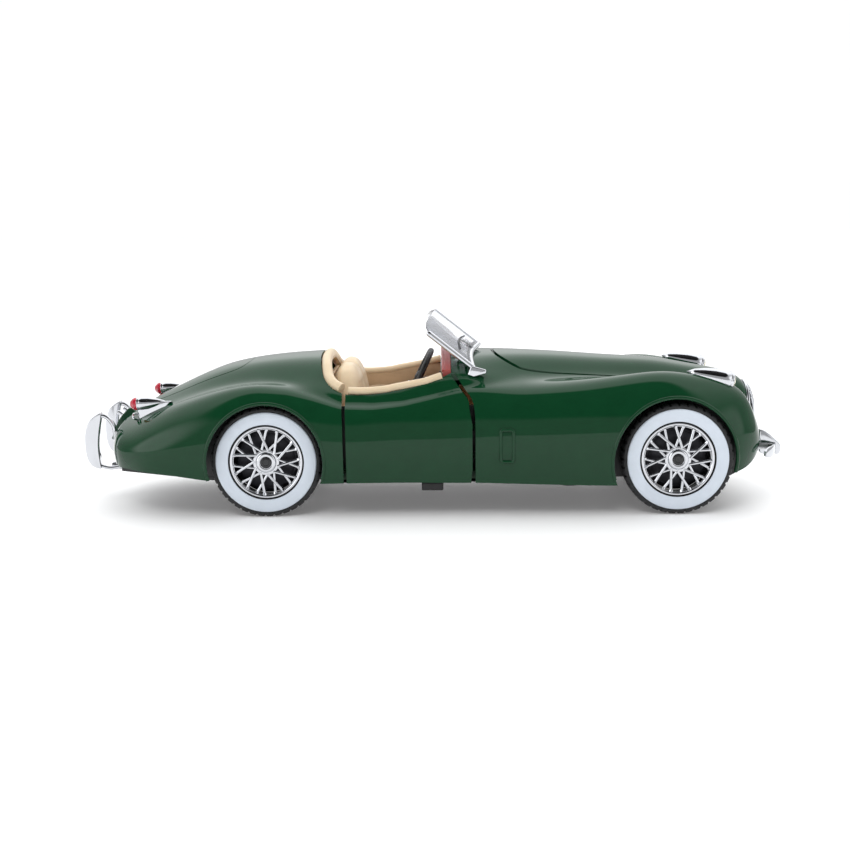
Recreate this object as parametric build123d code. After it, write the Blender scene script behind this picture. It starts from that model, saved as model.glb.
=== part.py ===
from build123d import *
import math
import os

# Diecast collector car, an open two-seat roadster at 1:24. Millimetres, +X
# forward, +Y the car's left, +Z up, Z 0 on the ground under the tyres.

CENTRE_X = 10.55      # shifts the car so its overall length is centred on X 0
WHEELBASE = 108.0
AXLE_Z = 14.7
TYRE_R = 14.7
TYRE_IN_R = 10.1
TYRE_W = 6.6
WALL_R = 13.25
WALL_IN_R = 10.12
WALL_T = 0.35
RIM_R = 9.6
RIM_LIP_R = 8.35
HUB_R = 3.1
SPOKES = 22
SPOKE_R = 0.28
FRONT_FACE_Y = 29.4
REAR_FACE_Y = 28.4
AXLE_R = 1.2
AXLE_CLEAR = 0.06
SHELL_WALL = 1.5
DOOR_HINGE_X = 3.0
DOOR_HINGE_Y = 28.6
DOOR_ARC_R = 3.6
HOOD_HINGE_X = 3.6
HOOD_HINGE_Z = 37.4
HOOD_ARC_R = 4.7
PIN_R = 0.5
PIN_CLEAR = 0.05
KNUCKLE_R = 0.9
ROLL_R = 1.05
REAR_ROLL_R = 1.4
BASE_Z = 8.0
BASE_T = 1.2

# Half cross-sections of the outer skin, from the tail to the nose. Each row is
# X, the crown height, then seven (Y, Z) pairs: shoulder of the hump, valley,
# fender crest, outer shoulder, widest point, tuck-in and lower edge.
SECTIONS = [
    (-98.2, 19.6, (3.5, 19.4), (6, 18.9), (8, 18.2), (9.6, 17.3), (10.5, 16.2), (10.2, 15.0), (9, 14.0)),
    (-97.2, 22.0, (5.5, 21.8), (9, 21.1), (12, 20.2), (14.3, 18.7), (15.5, 17), (15.2, 14.8), (14, 13.2)),
    (-95.6, 23.9, (7, 23.6), (12, 22.6), (15.8, 21.2), (18.6, 19.3), (20, 17), (19.7, 14.6), (18.6, 12.6)),
    (-92, 26.4, (8, 26.0), (14, 24.4), (18.5, 22.8), (22.3, 20.4), (24.3, 17.4), (24.1, 14.6), (23, 12.4)),
    (-87, 29.2, (8.5, 28.7), (15, 26.6), (20, 25.4), (25, 22.5), (27.8, 18.5), (27.7, 15), (26.8, 12.2)),
    (-80, 32.6, (9, 31.9), (16.5, 29.2), (22, 28.6), (27.4, 25.3), (30.3, 20), (30.2, 15), (29.4, 11.8)),
    (-70, 36.9, (10, 36), (18, 32.4), (23.5, 32.2), (29.3, 28.3), (32, 21), (31.8, 15), (31, 10.6)),
    (-60, 39.3, (11, 38.2), (19.5, 34.2), (24.5, 34.8), (30.2, 30.5), (32.7, 22), (32.5, 15), (31.6, 9.7)),
    (-50, 40.4, (12, 39.2), (20.5, 34.7), (24.8, 34.7), (30.2, 30.6), (32.7, 22), (32.5, 15), (31.6, 9.4)),
    (-41, 41.0, (13, 39.5), (21.5, 34.4), (25.3, 33.0), (29.8, 29.3), (32.2, 21.5), (32, 15), (31.1, 9.4)),
    (-33, 41.2, (14, 39.6), (21.5, 33.8), (25, 31.3), (29, 28.7), (31.7, 21), (31.5, 15), (30.6, 9.4)),
    (-20, 41.3, (14.5, 39.8), (21.5, 34.6), (25, 31.9), (28.8, 29.3), (31.4, 21.5), (31.2, 15),
     (30.3, 9.4)),
    (-10, 41.3, (14.5, 40), (21, 36.9), (24.5, 34.3), (28.4, 30.2), (31.3, 22), (31.1, 15), (30.2, 9.3)),
    (-4, 41.3, (14, 40.1), (20, 38.0), (23.8, 35.6), (28.3, 30.9), (31.4, 22.3), (31.2, 15), (30.3, 9.2)),
    (2, 41.2, (12.8, 40.1), (19, 37.5), (23.4, 35.0), (28.2, 31.1), (31.4, 22.5), (31.2, 15), (30.3, 9.2)),
    (8, 41.1, (10.8, 40.1), (17.2, 36.5), (22.4, 34.2), (28, 31.3), (31.5, 23), (31.3, 15.5), (30.4, 9.0)),
    (18, 40.8, (9, 39.5), (15.2, 34.7), (21.5, 34.5), (27.9, 31.8), (31.7, 23.5), (31.6, 16), (30.7, 8.7)),
    (30, 40.0, (8.5, 38.7), (14.5, 34.5), (21, 35.4), (28, 32.6), (32.1, 24), (32.0, 16), (31.1, 8.4)),
    (42, 39.1, (8, 37.9), (13.8, 34.2), (20.8, 36.6), (28, 33.6), (32.6, 24.5), (32.5, 17), (31.6, 8.4)),
    (52, 38.4, (7.5, 37.2), (13, 33.5), (20.4, 37.3), (27.8, 33.8), (32.7, 24.5), (32.5, 17), (31.6, 8.8)),
    (60, 37.0, (7, 35.8), (12.3, 31.8), (20, 36.2), (26.9, 32.4), (31.9, 24), (31.8, 17), (30.9, 9.4)),
    (67, 35.7, (6.5, 34.4), (11.6, 29.8), (19.6, 34.7), (25.8, 30.6), (30, 22.5), (29.8, 16.5),
     (28.8, 10.4)),
    (71.5, 34.7, (6.3, 33.2), (11.2, 27.9), (19.2, 32.3), (24.6, 28.1), (27.6, 21), (27.3, 16), (26, 11.3)),
    (74.5, 33.5, (6, 31.6), (10.8, 25.2), (18.9, 28.6), (23, 25.0), (25, 20), (24.7, 16.2), (23.4, 12.8)),
    (76.4, 32.0, (5.6, 29.8), (10.4, 22.6), (18.2, 24.2), (21.3, 21.9), (22.6, 19), (22.3, 16.6),
     (21, 14.6)),
    (77.4, 30.2, (5, 27.8), (9.6, 20.4), (16.6, 21.4), (18.9, 20.1), (19.9, 18.4), (19.6, 17.1),
     (18.6, 16)),
]


def section_half(x):
    # The crown and the seven pairs at X, blended between the table's rows.
    rows = SECTIONS
    flat = [[r[1]] + [v for pair in r[2:] for v in pair] for r in rows]
    xs = [r[0] for r in rows]
    i = 0
    while i < len(xs) - 2 and x > xs[i + 1]:
        i += 1
    h = xs[i + 1] - xs[i]
    t = (x - xs[i]) / h
    out = []
    for k in range(len(flat[0])):
        m0 = slope(xs, [f[k] for f in flat], i)
        m1 = slope(xs, [f[k] for f in flat], i + 1)
        a, b = flat[i][k], flat[i + 1][k]
        value = (2 * t**3 - 3 * t**2 + 1) * a + (t**3 - 2 * t**2 + t) * h * m0
        value += (3 * t**2 - 2 * t**3) * b + (t**3 - t**2) * h * m1
        out.append(value)
    points = [(0.0, out[0])]
    for k in range(7):
        points.append((out[1 + 2 * k], out[2 + 2 * k]))
    return points


def slope(xs, vs, i):
    # Monotone slope of a row of values at knot i.
    if i == 0:
        return (vs[1] - vs[0]) / (xs[1] - xs[0])
    if i == len(xs) - 1:
        return (vs[-1] - vs[-2]) / (xs[-1] - xs[-2])
    d0 = (vs[i] - vs[i - 1]) / (xs[i] - xs[i - 1])
    d1 = (vs[i + 1] - vs[i]) / (xs[i + 1] - xs[i])
    if d0 * d1 <= 0:
        return 0.0
    return 2 * d0 * d1 / (d0 + d1)


def inset(points, wall):
    # The half section moved inwards by the wall, with its foot below the sill.
    out = []
    for k, (y, z) in enumerate(points):
        a = points[k - 1] if k else (-points[1][0], points[1][1])
        b = points[k + 1] if k < len(points) - 1 else points[k]
        ty, tz = b[0] - a[0], b[1] - a[1]
        n = math.hypot(ty, tz)
        out.append((y + tz / n * wall, z - ty / n * wall))
    out[0] = (0.0, points[0][1] - wall)
    out[-1] = (points[-1][0] - wall, 1.0)
    return out


def section_face(x, points):
    # A closed face in the plane at X from a half section.
    right = [(x + CENTRE_X, -y, z) for y, z in reversed(points)]
    left = [(x + CENTRE_X, y, z) for y, z in points[1:]]
    over = Edge.make_spline([Vector(*p) for p in right + left])
    under = Edge.make_line(Vector(*left[-1]), Vector(*right[0]))
    return Face(Wire([over, under]))


def loft_body(wall, stations):
    faces = []
    for x in stations:
        points = section_half(x)
        if wall:
            near_end = min(x + 98.2, 77.4 - x)
            grow = 1.0 + 1.0 * max(0.0, 1 - near_end / 12.0)
            points = inset(points, wall * grow)
        faces.append(section_face(x, points))
    return loft(faces)


def at(x, y, z):
    return Vector(x + CENTRE_X, y, z)


def box(x0, x1, y0, y1, z0, z1):
    solid = Box(x1 - x0, abs(y1 - y0), z1 - z0)
    return Pos((x0 + x1) / 2 + CENTRE_X, (y0 + y1) / 2, (z0 + z1) / 2) * solid


def rod(p, q, r):
    # A round bar from p to q.
    a, b = at(*p), at(*q)
    plane = Plane(origin=a, z_dir=b - a)
    return extrude(plane * Circle(r), (b - a).length)


def side_prism(points, y0, y1):
    # A prism along Y from an X-Z outline.
    face = Face(Wire.make_polygon([at(x, y0, z) for x, z in points], close=True))
    return extrude(face, amount=abs(y1 - y0), dir=(0, 1 if y1 > y0 else -1, 0))


def plan_prism(points, z0, z1):
    # A prism along Z from an X-Y outline.
    face = Face(Wire.make_polygon([at(x, y, z0) for x, y in points], close=True))
    return extrude(face, amount=z1 - z0, dir=(0, 0, 1))


def mirror_y(shape):
    return mirror(shape, about=Plane.XZ)


def surface_z(x, y):
    # Height of the skin at X and Y, by straight steps over a fine spline.
    points = [(-a, b) for a, b in reversed(section_half(x))] + section_half(x)[1:]
    spline = Edge.make_spline([Vector(a, b, 0) for a, b in points])
    low, high = 0.5, 0.93
    for _ in range(30):
        mid = (low + high) / 2
        if spline.position_at(mid).X < y:
            low = mid
        else:
            high = mid
    return spline.position_at(low).Y


def solid_of(shape):
    # The shape's largest solid.
    return max(shape.solids(), key=lambda s: s.volume)


def save(shape, name):
    solids = shape.solids()
    solid = solids[0] if len(solids) == 1 else Compound(children=list(solids))
    export_step(solid, f"parts/{name}.step")
    print(name, len(solids), round(shape.volume, 2))


os.makedirs("parts", exist_ok=True)
OUTER_X = [r[0] for r in SECTIONS]
INNER_X = [-95.4, -93, -90, -85] + [x for x in OUTER_X if -82 < x < 70] + [70, 73, 75.2]

outer = loft_body(0, OUTER_X)
inner = loft_body(SHELL_WALL, INNER_X)
shell = outer - inner

# Wheel openings, then the cockpit opening seen from above.
ARCH = ((-54.0, 14.9, 15.35), (53.2, 14.4, 16.4))
for cx, cz, r in ARCH:
    for side in (-1, 1):
        shell -= rod((cx, side * 18.5, cz), (cx, side * 40, cz), r)

COCKPIT = [(-40.6, 0), (-40.5, 8), (-40.1, 14), (-39.1, 19), (-37.0, 22.3), (-34.0, 23.9), (-30, 24.1)]
COCKPIT += [(-20, 23.9), (-12, 23.6), (-7.5, 22.4), (-5.0, 21.0)]
half = COCKPIT[1:]
outline = [COCKPIT[0]] + half + [(x, -y) for x, y in reversed(half)]
spline_part = [at(x, y, 15) for x, y in outline[1:]]
rim = Edge.make_spline([at(x, -y, 15) for x, y in reversed(half)] + [at(x, y, 15) for x, y in COCKPIT])
front = Edge.make_line(at(-5.0, 21.0, 15), at(-5.0, -21.0, 15))
cockpit = extrude(Face(Wire([rim, front])), amount=40, dir=(0, 0, 1))
shell -= cockpit
print("shell", shell.volume, len(shell.solids()))

# Doors: the same side outline, kept 0.8 smaller than the opening.
DOOR = [(-32.7, 5), (-32.7, 16), (-32.8, 24), (-33.0, 30), (-33.3, 45), (-8.4, 45)]
DOOR += [(-6.9, 39.6), (-4.8, 36.2), (-2.5, 33), (-0.9, 31), (-0.1, 28.7), (0.2, 25.5), (0.2, 5)]
HOLE = [(-33.5, 4), (-33.5, 16), (-33.6, 24), (-33.85, 30), (-34.3, 46), (-7.4, 46)]
HOLE += [(-6.0, 39.9), (-3.95, 36.7), (-1.7, 33.5), (-0.05, 31.4), (0.75, 28.9), (1.0, 25.6), (1.0, 4)]
door_block = side_prism(DOOR, 21.3, 40)
hole_block = side_prism(HOLE, 21.3, 40)
arc = rod((DOOR_HINGE_X, DOOR_HINGE_Y, 2), (DOOR_HINGE_X, DOOR_HINGE_Y, 46), DOOR_ARC_R)
door_skin = (shell & door_block) - arc
door_skin = max(door_skin.solids(), key=lambda s: s.volume)
shell -= hole_block
shell -= mirror_y(hole_block)
print("door", door_skin.volume, "shell", shell.volume, len(shell.solids()))

# Hood: a plan outline, the opening 0.7 larger all round.
HOOD = [(7.0, 0), (7.2, 5), (8.6, 9.6), (12.0, 12.8), (17, 14.0), (35, 13.4), (50, 12.0), (62, 9.4),
        (69.4, 6.6)]
HOOD_HOLE = [(6.15, 0), (6.3, 5.2), (7.65, 10.3), (11.4, 13.6), (17, 14.7), (35, 14.1), (50, 12.7),
             (62, 10.1), (70.1, 7.2)]


def hood_prism(points, nose):
    half = points[1:]
    rear = Edge.make_spline([at(x, -y, 25) for x, y in reversed(half)] + [at(x, y, 25) for x, y in points])
    end = points[-1]
    front = Edge.make_three_point_arc(at(end[0], end[1], 25), at(nose, 0, 25), at(end[0], -end[1], 25))
    return extrude(Face(Wire([rear, front])), amount=20, dir=(0, 0, 1))


hood_arc = rod((HOOD_HINGE_X, -20, HOOD_HINGE_Z), (HOOD_HINGE_X, 20, HOOD_HINGE_Z), HOOD_ARC_R)
hood_skin = (shell & hood_prism(HOOD, 71.6)) - hood_arc
hood_skin = max(hood_skin.solids(), key=lambda s: s.volume)
shell -= hood_prism(HOOD_HOLE, 72.4)
print("hood", hood_skin.volume, "shell", shell.volume, len(shell.solids()))


# Body casting: sill rails, hinge lugs, screw posts, vent outline, grille hole.
SCREWS = [(26.0, 25.5), (26.0, -25.5), (-66.0, 10.5), (-66.0, -10.5)]
for side in (-1, 1):
    shell += box(-37.6, 5.2, side * 24.2, side * 27.6, 9.8, 12.0)
    shell += box(-37.6, -34.3, side * 27.0, side * 29.9, 9.8, 12.0)
    shell += box(1.8, 5.2, side * 27.0, side * 29.7, 9.8, 12.0)
    for z0, z1 in ((12.6, 14.4), (24.8, 26.4)):
        lug = box(2.0, 4.4, side * 27.4, side * 30.1, z0, z1)
        shell += lug
    shell -= rod((DOOR_HINGE_X, side * DOOR_HINGE_Y, 12.2), (DOOR_HINGE_X, side * DOOR_HINGE_Y, 27), PIN_R)
    shell += box(2.4, 4.8, side * 8.2, side * 9.9, 36.4, 39.5)
    vent = box(7.3, 11.1, side * 31.1, side * 33, 14.6, 23.5)
    vent -= box(7.75, 10.65, side * 31, side * 34, 15.1, 23.0)
    shell -= vent
shell -= rod((HOOD_HINGE_X, -11, HOOD_HINGE_Z), (HOOD_HINGE_X, 11, HOOD_HINGE_Z), PIN_R)
for x, y in SCREWS:
    top = surface_z(x, abs(y) + 2.0) - 0.8
    shell += rod((x, y, BASE_Z + BASE_T), (x, y, top), 2.0) - rod((x, y, 9), (x, y, 16), 0.8)

GRILLE_Z, GRILLE_A, GRILLE_B = 22.9, 6.5, 8.3


def grille_ellipse(x0, x1, grow):
    plane = Plane(origin=at(x0, 0, GRILLE_Z), x_dir=(0, 1, 0), z_dir=(1, 0, 0))
    return extrude(plane * Ellipse(GRILLE_A + grow, GRILLE_B + grow), x1 - x0)


shell -= grille_ellipse(68, 80, 0.45)
body = solid_of(shell)
save(body, "body_shell")

# Doors, each with a curled arm and a sleeve on its hinge pin.
hx, hy = DOOR_HINGE_X, DOOR_HINGE_Y
ARM = [(-0.2, -0.85), (-2.3, -3.0), (-5.9, -2.1), (-6.3, 1.7), (-5.2, 1.7), (-4.9, -1.2), (-2.6, -1.9),
       (-0.8, -0.3)]
arm_plan = [(hx + a, hy + b) for a, b in ARM]
door = door_skin + plan_prism(arm_plan, 15.0, 16.6) + plan_prism(arm_plan, 22.6, 24.2)
door += rod((hx, hy, 14.6), (hx, hy, 24.6), KNUCKLE_R)
door -= rod((hx, hy, 14), (hx, hy, 25), PIN_R + PIN_CLEAR)
door = solid_of(door)
save(door, "door_left")
save(mirror_y(door), "door_right")

# Door cards with the rolled top edge.
ROLL_IN = ROLL_R + 0.07
door_roll_points = []
for k in range(7):
    x = -32.3 + (24.6 * k / 6)
    edge_y = 23.9 if x < -12 else 23.9 - 1.5 * (x + 12) / 4.6 * 0.6
    z = surface_z(x, edge_y) + 0.75
    door_roll_points.append((x, edge_y - ROLL_IN, z))
path = Edge.make_spline([at(*p) for p in door_roll_points])
roll = sweep(path.location_at(0) * Circle(ROLL_R), path=path)
card_top = [(x, z - 0.1) for x, y, z in door_roll_points[:6]]
card = side_prism([(-31.8, 13), (-31.8, card_top[0][1])] + card_top[1:] + [(-9.5, 13)], 21.9, 23.0)
trim = roll + card
for x in (-29.0, -16.0):
    trim += solid_of(box(x, x + 3, 22.5, 30.6, 17.5, 21.5) - door_skin)
trim = solid_of(trim - door)
save(trim, "door_trim_left")
save(mirror_y(trim), "door_trim_right")

# Hood with two curled arms on a cross pin.
hx, hz = HOOD_HINGE_X, HOOD_HINGE_Z
LEVER = [(-0.5, -0.75), (1.6, -3.2), (6.0, -2.2), (7.3, 2.4), (6.2, 2.4), (5.1, -1.2), (2.2, -2.1),
         (0.7, -0.5)]
lever_side = [(hx + a, hz + b) for a, b in LEVER]
hood = hood_skin
for side in (-1, 1):
    hood += side_prism(lever_side, side * 4.6, side * 6.2)
    hood += rod((hx, side * 4.2, hz), (hx, side * 7.9, hz), KNUCKLE_R)
hood -= rod((hx, -9, hz), (hx, 9, hz), PIN_R + PIN_CLEAR)
hood = solid_of(hood)
save(hood, "hood")

save(rod((hx, -9.9, hz), (hx, 9.9, hz), PIN_R), "hood_pin")
pin = rod((DOOR_HINGE_X, DOOR_HINGE_Y, 12.6), (DOOR_HINGE_X, DOOR_HINGE_Y, 26.4), PIN_R)
save(pin, "door_pin_left")
save(mirror_y(pin), "door_pin_right")

# Baseplate: keel, floor, engine bay walls, axle saddles, cross foot.
KEEL = [(-94.5, 12.1), (-94.5, 10.8), (-70, 8.0), (70, 8.0), (74.5, 10.4), (74.5, 11.6), (69.5, 9.2),
        (-69.5, 9.2)]
base = side_prism(KEEL, -18.0, 18.0)
base += box(-37.6, 34.5, -28.0, 28.0, 8.0, 9.2)
base += box(-13.2, -7.4, -24.0, 24.0, 5.9, 8.2)
BAY = [(10.5, 9.0), (10.5, 31.0), (52, 31.0), (60, 29.0), (66, 25.5), (70, 22), (70, 9.0)]
for side in (-1, 1):
    base += side_prism(BAY, side * 15.4, side * 16.2)
    for cx in (-WHEELBASE / 2, WHEELBASE / 2):
        base += box(cx - 3, cx + 3, side * 16.2, side * 19.0, 8.0, 18.4)
base += box(10.5, 11.3, -16.0, 16.0, 9.0, 33.0)
for first, last in ((-74.0, -38.8), (33.5, 70.0)):
    steps = [first + (last - first) * k / 12 for k in range(13)]
    roof = [(x, surface_z(x, 18.6) - 3.0) for x in steps]
    foot = -69.0 if first < 0 else first + 1
    well = [(first, 10.6 if first < 0 else 9.0)] + roof + [(last, 9.0), (foot, 9.0)]
    for side in (-1, 1):
        base += side_prism(well, side * 17.9, side * 18.6)
for cx in (-WHEELBASE / 2, WHEELBASE / 2):
    base -= rod((cx, -25, AXLE_Z), (cx, 25, AXLE_Z), AXLE_R + AXLE_CLEAR)
for x, y in SCREWS:
    base -= rod((x, y, 7), (x, y, 9.3), 0.8)
    base -= rod((x, y, 7), (x, y, 8.5), 1.6)
DISPLAY_HOLES = [(-10.3, 14.0), (-10.3, -14.0)]
for x, y in DISPLAY_HOLES:
    base -= rod((x, y, 5.5), (x, y, 8.6), 1.1)
base = solid_of(base)
save(base, "baseplate")
screws = [rod((x, y, 7.8), (x, y, 8.5), 1.6) + rod((x, y, 8.4), (x, y, 15.5), 0.8) for x, y in SCREWS]
for k, screw in enumerate(screws):
    slot_cut = box(SCREWS[k][0] - 1.2, SCREWS[k][0] + 1.2, SCREWS[k][1] - 0.2, SCREWS[k][1] + 0.2, 7.7, 8.1)
    save(screw - slot_cut, f"base_screw_{k + 1}")

# Interior: tub, two seats, rear trim roll, dashboard, steering.
tub = box(-38.4, 8.0, -20.8, 20.8, 9.2, 28.5) - box(-37.4, 7.0, -19.8, 19.8, 10.2, 30)
tub += box(-38.4, -37.4, -15, 15, 28, 35.5)
tub += box(-30, 6.9, -1.6, 1.6, 10, 13.5)
save(tub, "interior_tub")

BACK = [(-37.2, 12), (-37.2, 29.4), (-36.9, 34.6), (-35.7, 37.1), (-33.6, 38.4), (-31.3, 37.9),
        (-29.8, 35.5)]
BACK += [(-28.6, 30.5), (-28.0, 20), (-28.0, 12)]
back_curve = Edge.make_spline([at(x, 0, z) for x, z in BACK])
back_foot = Edge.make_line(at(-28.0, 0, 12), at(-37.2, 0, 12))
back = extrude(Face(Wire([back_curve, back_foot])), amount=22, dir=(0, 1, 0))
FRONT_VIEW = [(0.3, 14.4), (0.3, 34.5), (1.3, 37.3), (4.2, 38.4), (9.0, 38.5), (13.0, 37.2),
              (15.9, 33.9), (17.2, 29), (17.4, 14.4)]
mask_curve = Edge.make_spline([at(-40, y, z) for y, z in FRONT_VIEW[1:-1]])
mask_wire = Wire([mask_curve] + [Edge.make_line(at(-40, a[0], a[1]), at(-40, b[0], b[1])) for a, b in
                  ((FRONT_VIEW[-2], FRONT_VIEW[-1]), (FRONT_VIEW[-1], FRONT_VIEW[0]),
                   (FRONT_VIEW[0], FRONT_VIEW[1]))])
mask = extrude(Face(mask_wire), amount=30, dir=(1, 0, 0))
cushion = fillet(box(-34, -14.5, 2.6, 17.4, 10.2, 17.6).edges().filter_by(Axis.Y), 2.0)
seat = solid_of((back & mask) + cushion)
save(seat, "seat_left")
save(mirror_y(seat), "seat_right")

# The thicker roll behind the seats: half of its centre line, with its height above the skin.
REAR_ROLL = [(-39.05, 0, -1.0), (-38.95, 8, -0.9), (-38.55, 13.8, -0.6), (-37.65, 18.4, -0.1)]
REAR_ROLL += [(-35.95, 21.2, 0.3), (-34.1, 22.4, 0.45)]
rear_points = []
for x, y, lift in REAR_ROLL:
    z = surface_z(x - 1.2, y + 0.9) + lift
    rear_points.append((x, y, z))
rear_points = [(x, -y, z) for x, y, z in reversed(rear_points[1:])] + rear_points
path = Edge.make_spline([at(*p) for p in rear_points])
rear_roll = sweep(path.location_at(0) * Circle(REAR_ROLL_R), path=path)
rear_roll -= body
rear_roll -= seat
rear_roll -= mirror_y(seat)
save(solid_of(rear_roll), "cockpit_trim")

dash = section_face(-7.3, [(y, z + 0.35) for y, z in section_half(-6.2)])
dash = extrude(dash, amount=2.2, dir=(1, 0, 0)) & box(-7.3, -5.1, -20.6, 20.6, 28.7, 44)
save(dash, "dashboard")
dials = [rod((-7.65, y, 36.2), (-7.3, y, 36.2), r) for y, r in ((-6.4, 2.0), (6.4, 2.0))]
bezel = box(-7.45, -7.3, -9.5, 9.5, 33.4, 38.9)
save(bezel + dials[0] + dials[1], "instruments")

TILT = math.radians(26)
WHEEL_C = (-13.3, 10.0, 32.6)
WHEEL_R = 8.2
axis = (-math.cos(TILT), 0.0, math.sin(TILT))

wheel_plane = Plane(origin=at(*WHEEL_C), x_dir=(0, 1, 0), z_dir=axis)
flat_wheel = Torus(WHEEL_R, 0.6) + Cylinder(1.2, 1.9)
flat_wheel += Rot(0, 90, 0) * Cylinder(0.35, 2 * WHEEL_R) + Rot(90, 0, 0) * Cylinder(0.35, 2 * WHEEL_R)
flat_wheel += Pos(0, 0, -3.8) * Cylinder(0.55, 6.4)
steering = wheel_plane.location * flat_wheel
steering -= box(-7.32, 0, 0, 20, 25, 45)
save(solid_of(steering), "steering_wheel")
lever = rod((-12, 0, 13.5), (-13.5, 0, 20.5), 0.4) + Pos(-13.6 + CENTRE_X, 0, 21) * Sphere(1.0)
save(lever, "gear_lever")


# Windscreen: two flat panes in a shallow V, chrome posts, foot rail, wedges.
FOOT_MID = (2.8, 0.0, 42.6)
TOP_MID = (-9.3, 0.0, 52.2)
SWEEP = (-2.2, -21.0, -4.1)
PANE = [(-0.02, 0.02), (0.3, 0.09), (0.5, 0.12), (0.75, 0.10), (1, 0.03), (1, 0.90), (0.975, 0.98),
        (0.9, 1.04)]
PANE += [(0.72, 1.07), (0.4, 1.06), (-0.02, 1.0)]


def on_pane(s, h, side):
    p = [FOOT_MID[k] + (TOP_MID[k] - FOOT_MID[k]) * h + SWEEP[k] * s for k in range(3)]
    return (p[0], p[1] * -side, p[2])


PANE_T = 0.5
glass = None
bars = None
for side in (-1, 1):
    corners = [at(*on_pane(s, h, side)) for s, h in PANE]
    face = Face(Wire.make_polygon(corners, close=True))
    n = face.normal_at()
    n = n if n.Z > 0 else -n
    pane = extrude(face, amount=PANE_T, dir=tuple(n))
    glass = pane if glass is None else glass + pane
    spots = [(0, 0.0), (0.3, 0.07), (0.5, 0.10), (0.75, 0.08), (1, 0.0), (1, 0.95)]
    for a, b in zip(spots, spots[1:]):
        r = 0.75 if b != spots[-1] else 0.8
        p, q = on_pane(*a, side), on_pane(*b, side)
        bar = rod(p, q, r) + Pos(at(*q)) * Sphere(r)
        bars = bar if bars is None else bars + bar
    wedge_side = [(-0.8, 36.4), (0.2, 39.0), (4.2, 37.9), (4.2, 35.5), (-0.8, 34)]
    wedge = side_prism(wedge_side, side * 20.4, side * 22.2)
    bars += wedge
bars += rod(on_pane(0, -0.05, 1), on_pane(0, 1.0, 1), 0.6)
glass -= outer
frame_solid = bars - outer - glass - dash
for side in (-1, 1):
    frame_solid -= door if side > 0 else mirror_y(door)
save(solid_of(glass), "windscreen_glass")
save(frame_solid, "windscreen_frame")

# Headlights and tail lamps: turned pods seated on the fenders.


def turned(profile, origin, direction):
    # A turned body: profile of (distance along, radius) from origin.
    plane = Plane(origin=at(*origin), x_dir=(0, 1, 0), z_dir=direction)
    outline = [plane.from_local_coords(Vector(r, 0, d)) for d, r in profile]
    wire = Wire.make_polygon(outline, close=True)
    return revolve(Face(wire), Axis(at(*origin), Vector(*direction)), 360)


HEAD = (69.4, 20.0, 34.0)
HEAD_DIR = (-math.cos(math.radians(13)), 0.0, math.sin(math.radians(13)))
HEAD_POD = [(0.7, 0), (0.7, 2.1), (0, 2.1), (0, 2.5), (0.8, 2.62), (2.5, 2.65), (5, 2.45), (8, 1.85),
            (10.4, 1.15), (12.4, 0)]
HEAD_LENS = [(0.7, 0), (0.7, 2.05), (0, 2.05), (-0.5, 1.75), (-0.9, 1.1), (-1.05, 0)]
TAIL = (-90.0, 16.0, 28.9)
TAIL_DIR = (1.0, 0.0, 0.05)
TAIL_POD = [(0.6, 0), (0.6, 1.3), (0, 1.3), (0, 1.65), (1.2, 1.75), (3, 1.65), (5.5, 1.1), (8.3, 0)]
TAIL_LENS = [(0.6, 0), (0.6, 1.25), (0, 1.65), (-0.7, 1.6), (-1.4, 1.15), (-1.9, 0)]
head_pod = solid_of(turned(HEAD_POD, HEAD, HEAD_DIR) - outer)
head_lens = solid_of(turned(HEAD_LENS, HEAD, HEAD_DIR) - outer)
tail_stem = side_prism([(-89.9, 28.6), (-84.5, 29.6), (-80.5, 29.6), (-84, 26), (-89.4, 24.5)], 15.1, 16.9)
tail_pod = turned(TAIL_POD, TAIL, TAIL_DIR)
tail_lens = solid_of(turned(TAIL_LENS, TAIL, TAIL_DIR))
tail_pod = solid_of((tail_pod + tail_stem) - tail_lens - outer)
LAMPS = {"headlight": head_pod, "headlight_lens": head_lens, "tail_lamp": tail_pod, "tail_lens": tail_lens}
for name, part in LAMPS.items():
    save(part, name + "_left")
    save(mirror_y(part), name + "_right")

# Grille: an oval ring with eleven bowed slats.
grille = grille_ellipse(76.0, 78.2, 0.4) - grille_ellipse(75, 79, -0.5)
for k in range(-5, 6):
    y = k * 1.08
    half_z = GRILLE_B * math.sqrt(max(0.02, 1 - (y / (GRILLE_A + 0.2)) ** 2)) - 0.1
    front_curve = []
    for j in range(9):
        z = half_z * (1 - j / 4)
        bow = max(0.0, 1 - (z / 9.6) ** 2 - (y / 9.0) ** 2)
        front_curve.append((75.6 + 4.6 * math.sqrt(bow), GRILLE_Z + z))
    back_curve = [(x - 0.9, z) for x, z in reversed(front_curve)]
    grille += side_prism(front_curve + back_curve, y - 0.22, y + 0.22)
grille += grille_ellipse(75.6, 76.2, 0.4) - grille_ellipse(75, 77, -0.9)
for z in (GRILLE_Z - 4, GRILLE_Z + 4):
    grille += box(76.2, 76.8, -5.8, 5.8, z - 0.3, z + 0.3)
save(solid_of(grille - body - hood), "grille")

# Front bumpers: a curved blade, an upright overrider and a bracket a side.
BLADE = [(84.0, 8.4), (83.7, 12), (82.7, 16), (81.0, 20), (78.4, 23.4), (77.7, 22.6), (80.1, 19.4),
         (81.7, 15.6), (82.7, 11.8), (83.0, 8.4)]
RIDER = [(79.2, 13.4), (83.6, 13.1), (84.4, 14.2), (84.4, 15.7), (82.8, 17.4), (80.8, 19.1),
         (79.4, 19.8), (78.6, 19.4), (78.7, 16)]
bumper = plan_prism(BLADE, 13.5, 16.4) + side_prism(RIDER, 12.0, 14.2)
bumper += box(74.8, 82.2, 13.2, 15.0, 14.6, 16.2)
bumper = solid_of(bumper - outer)
save(bumper, "front_bumper_left")
save(mirror_y(bumper), "front_bumper_right")

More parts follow.
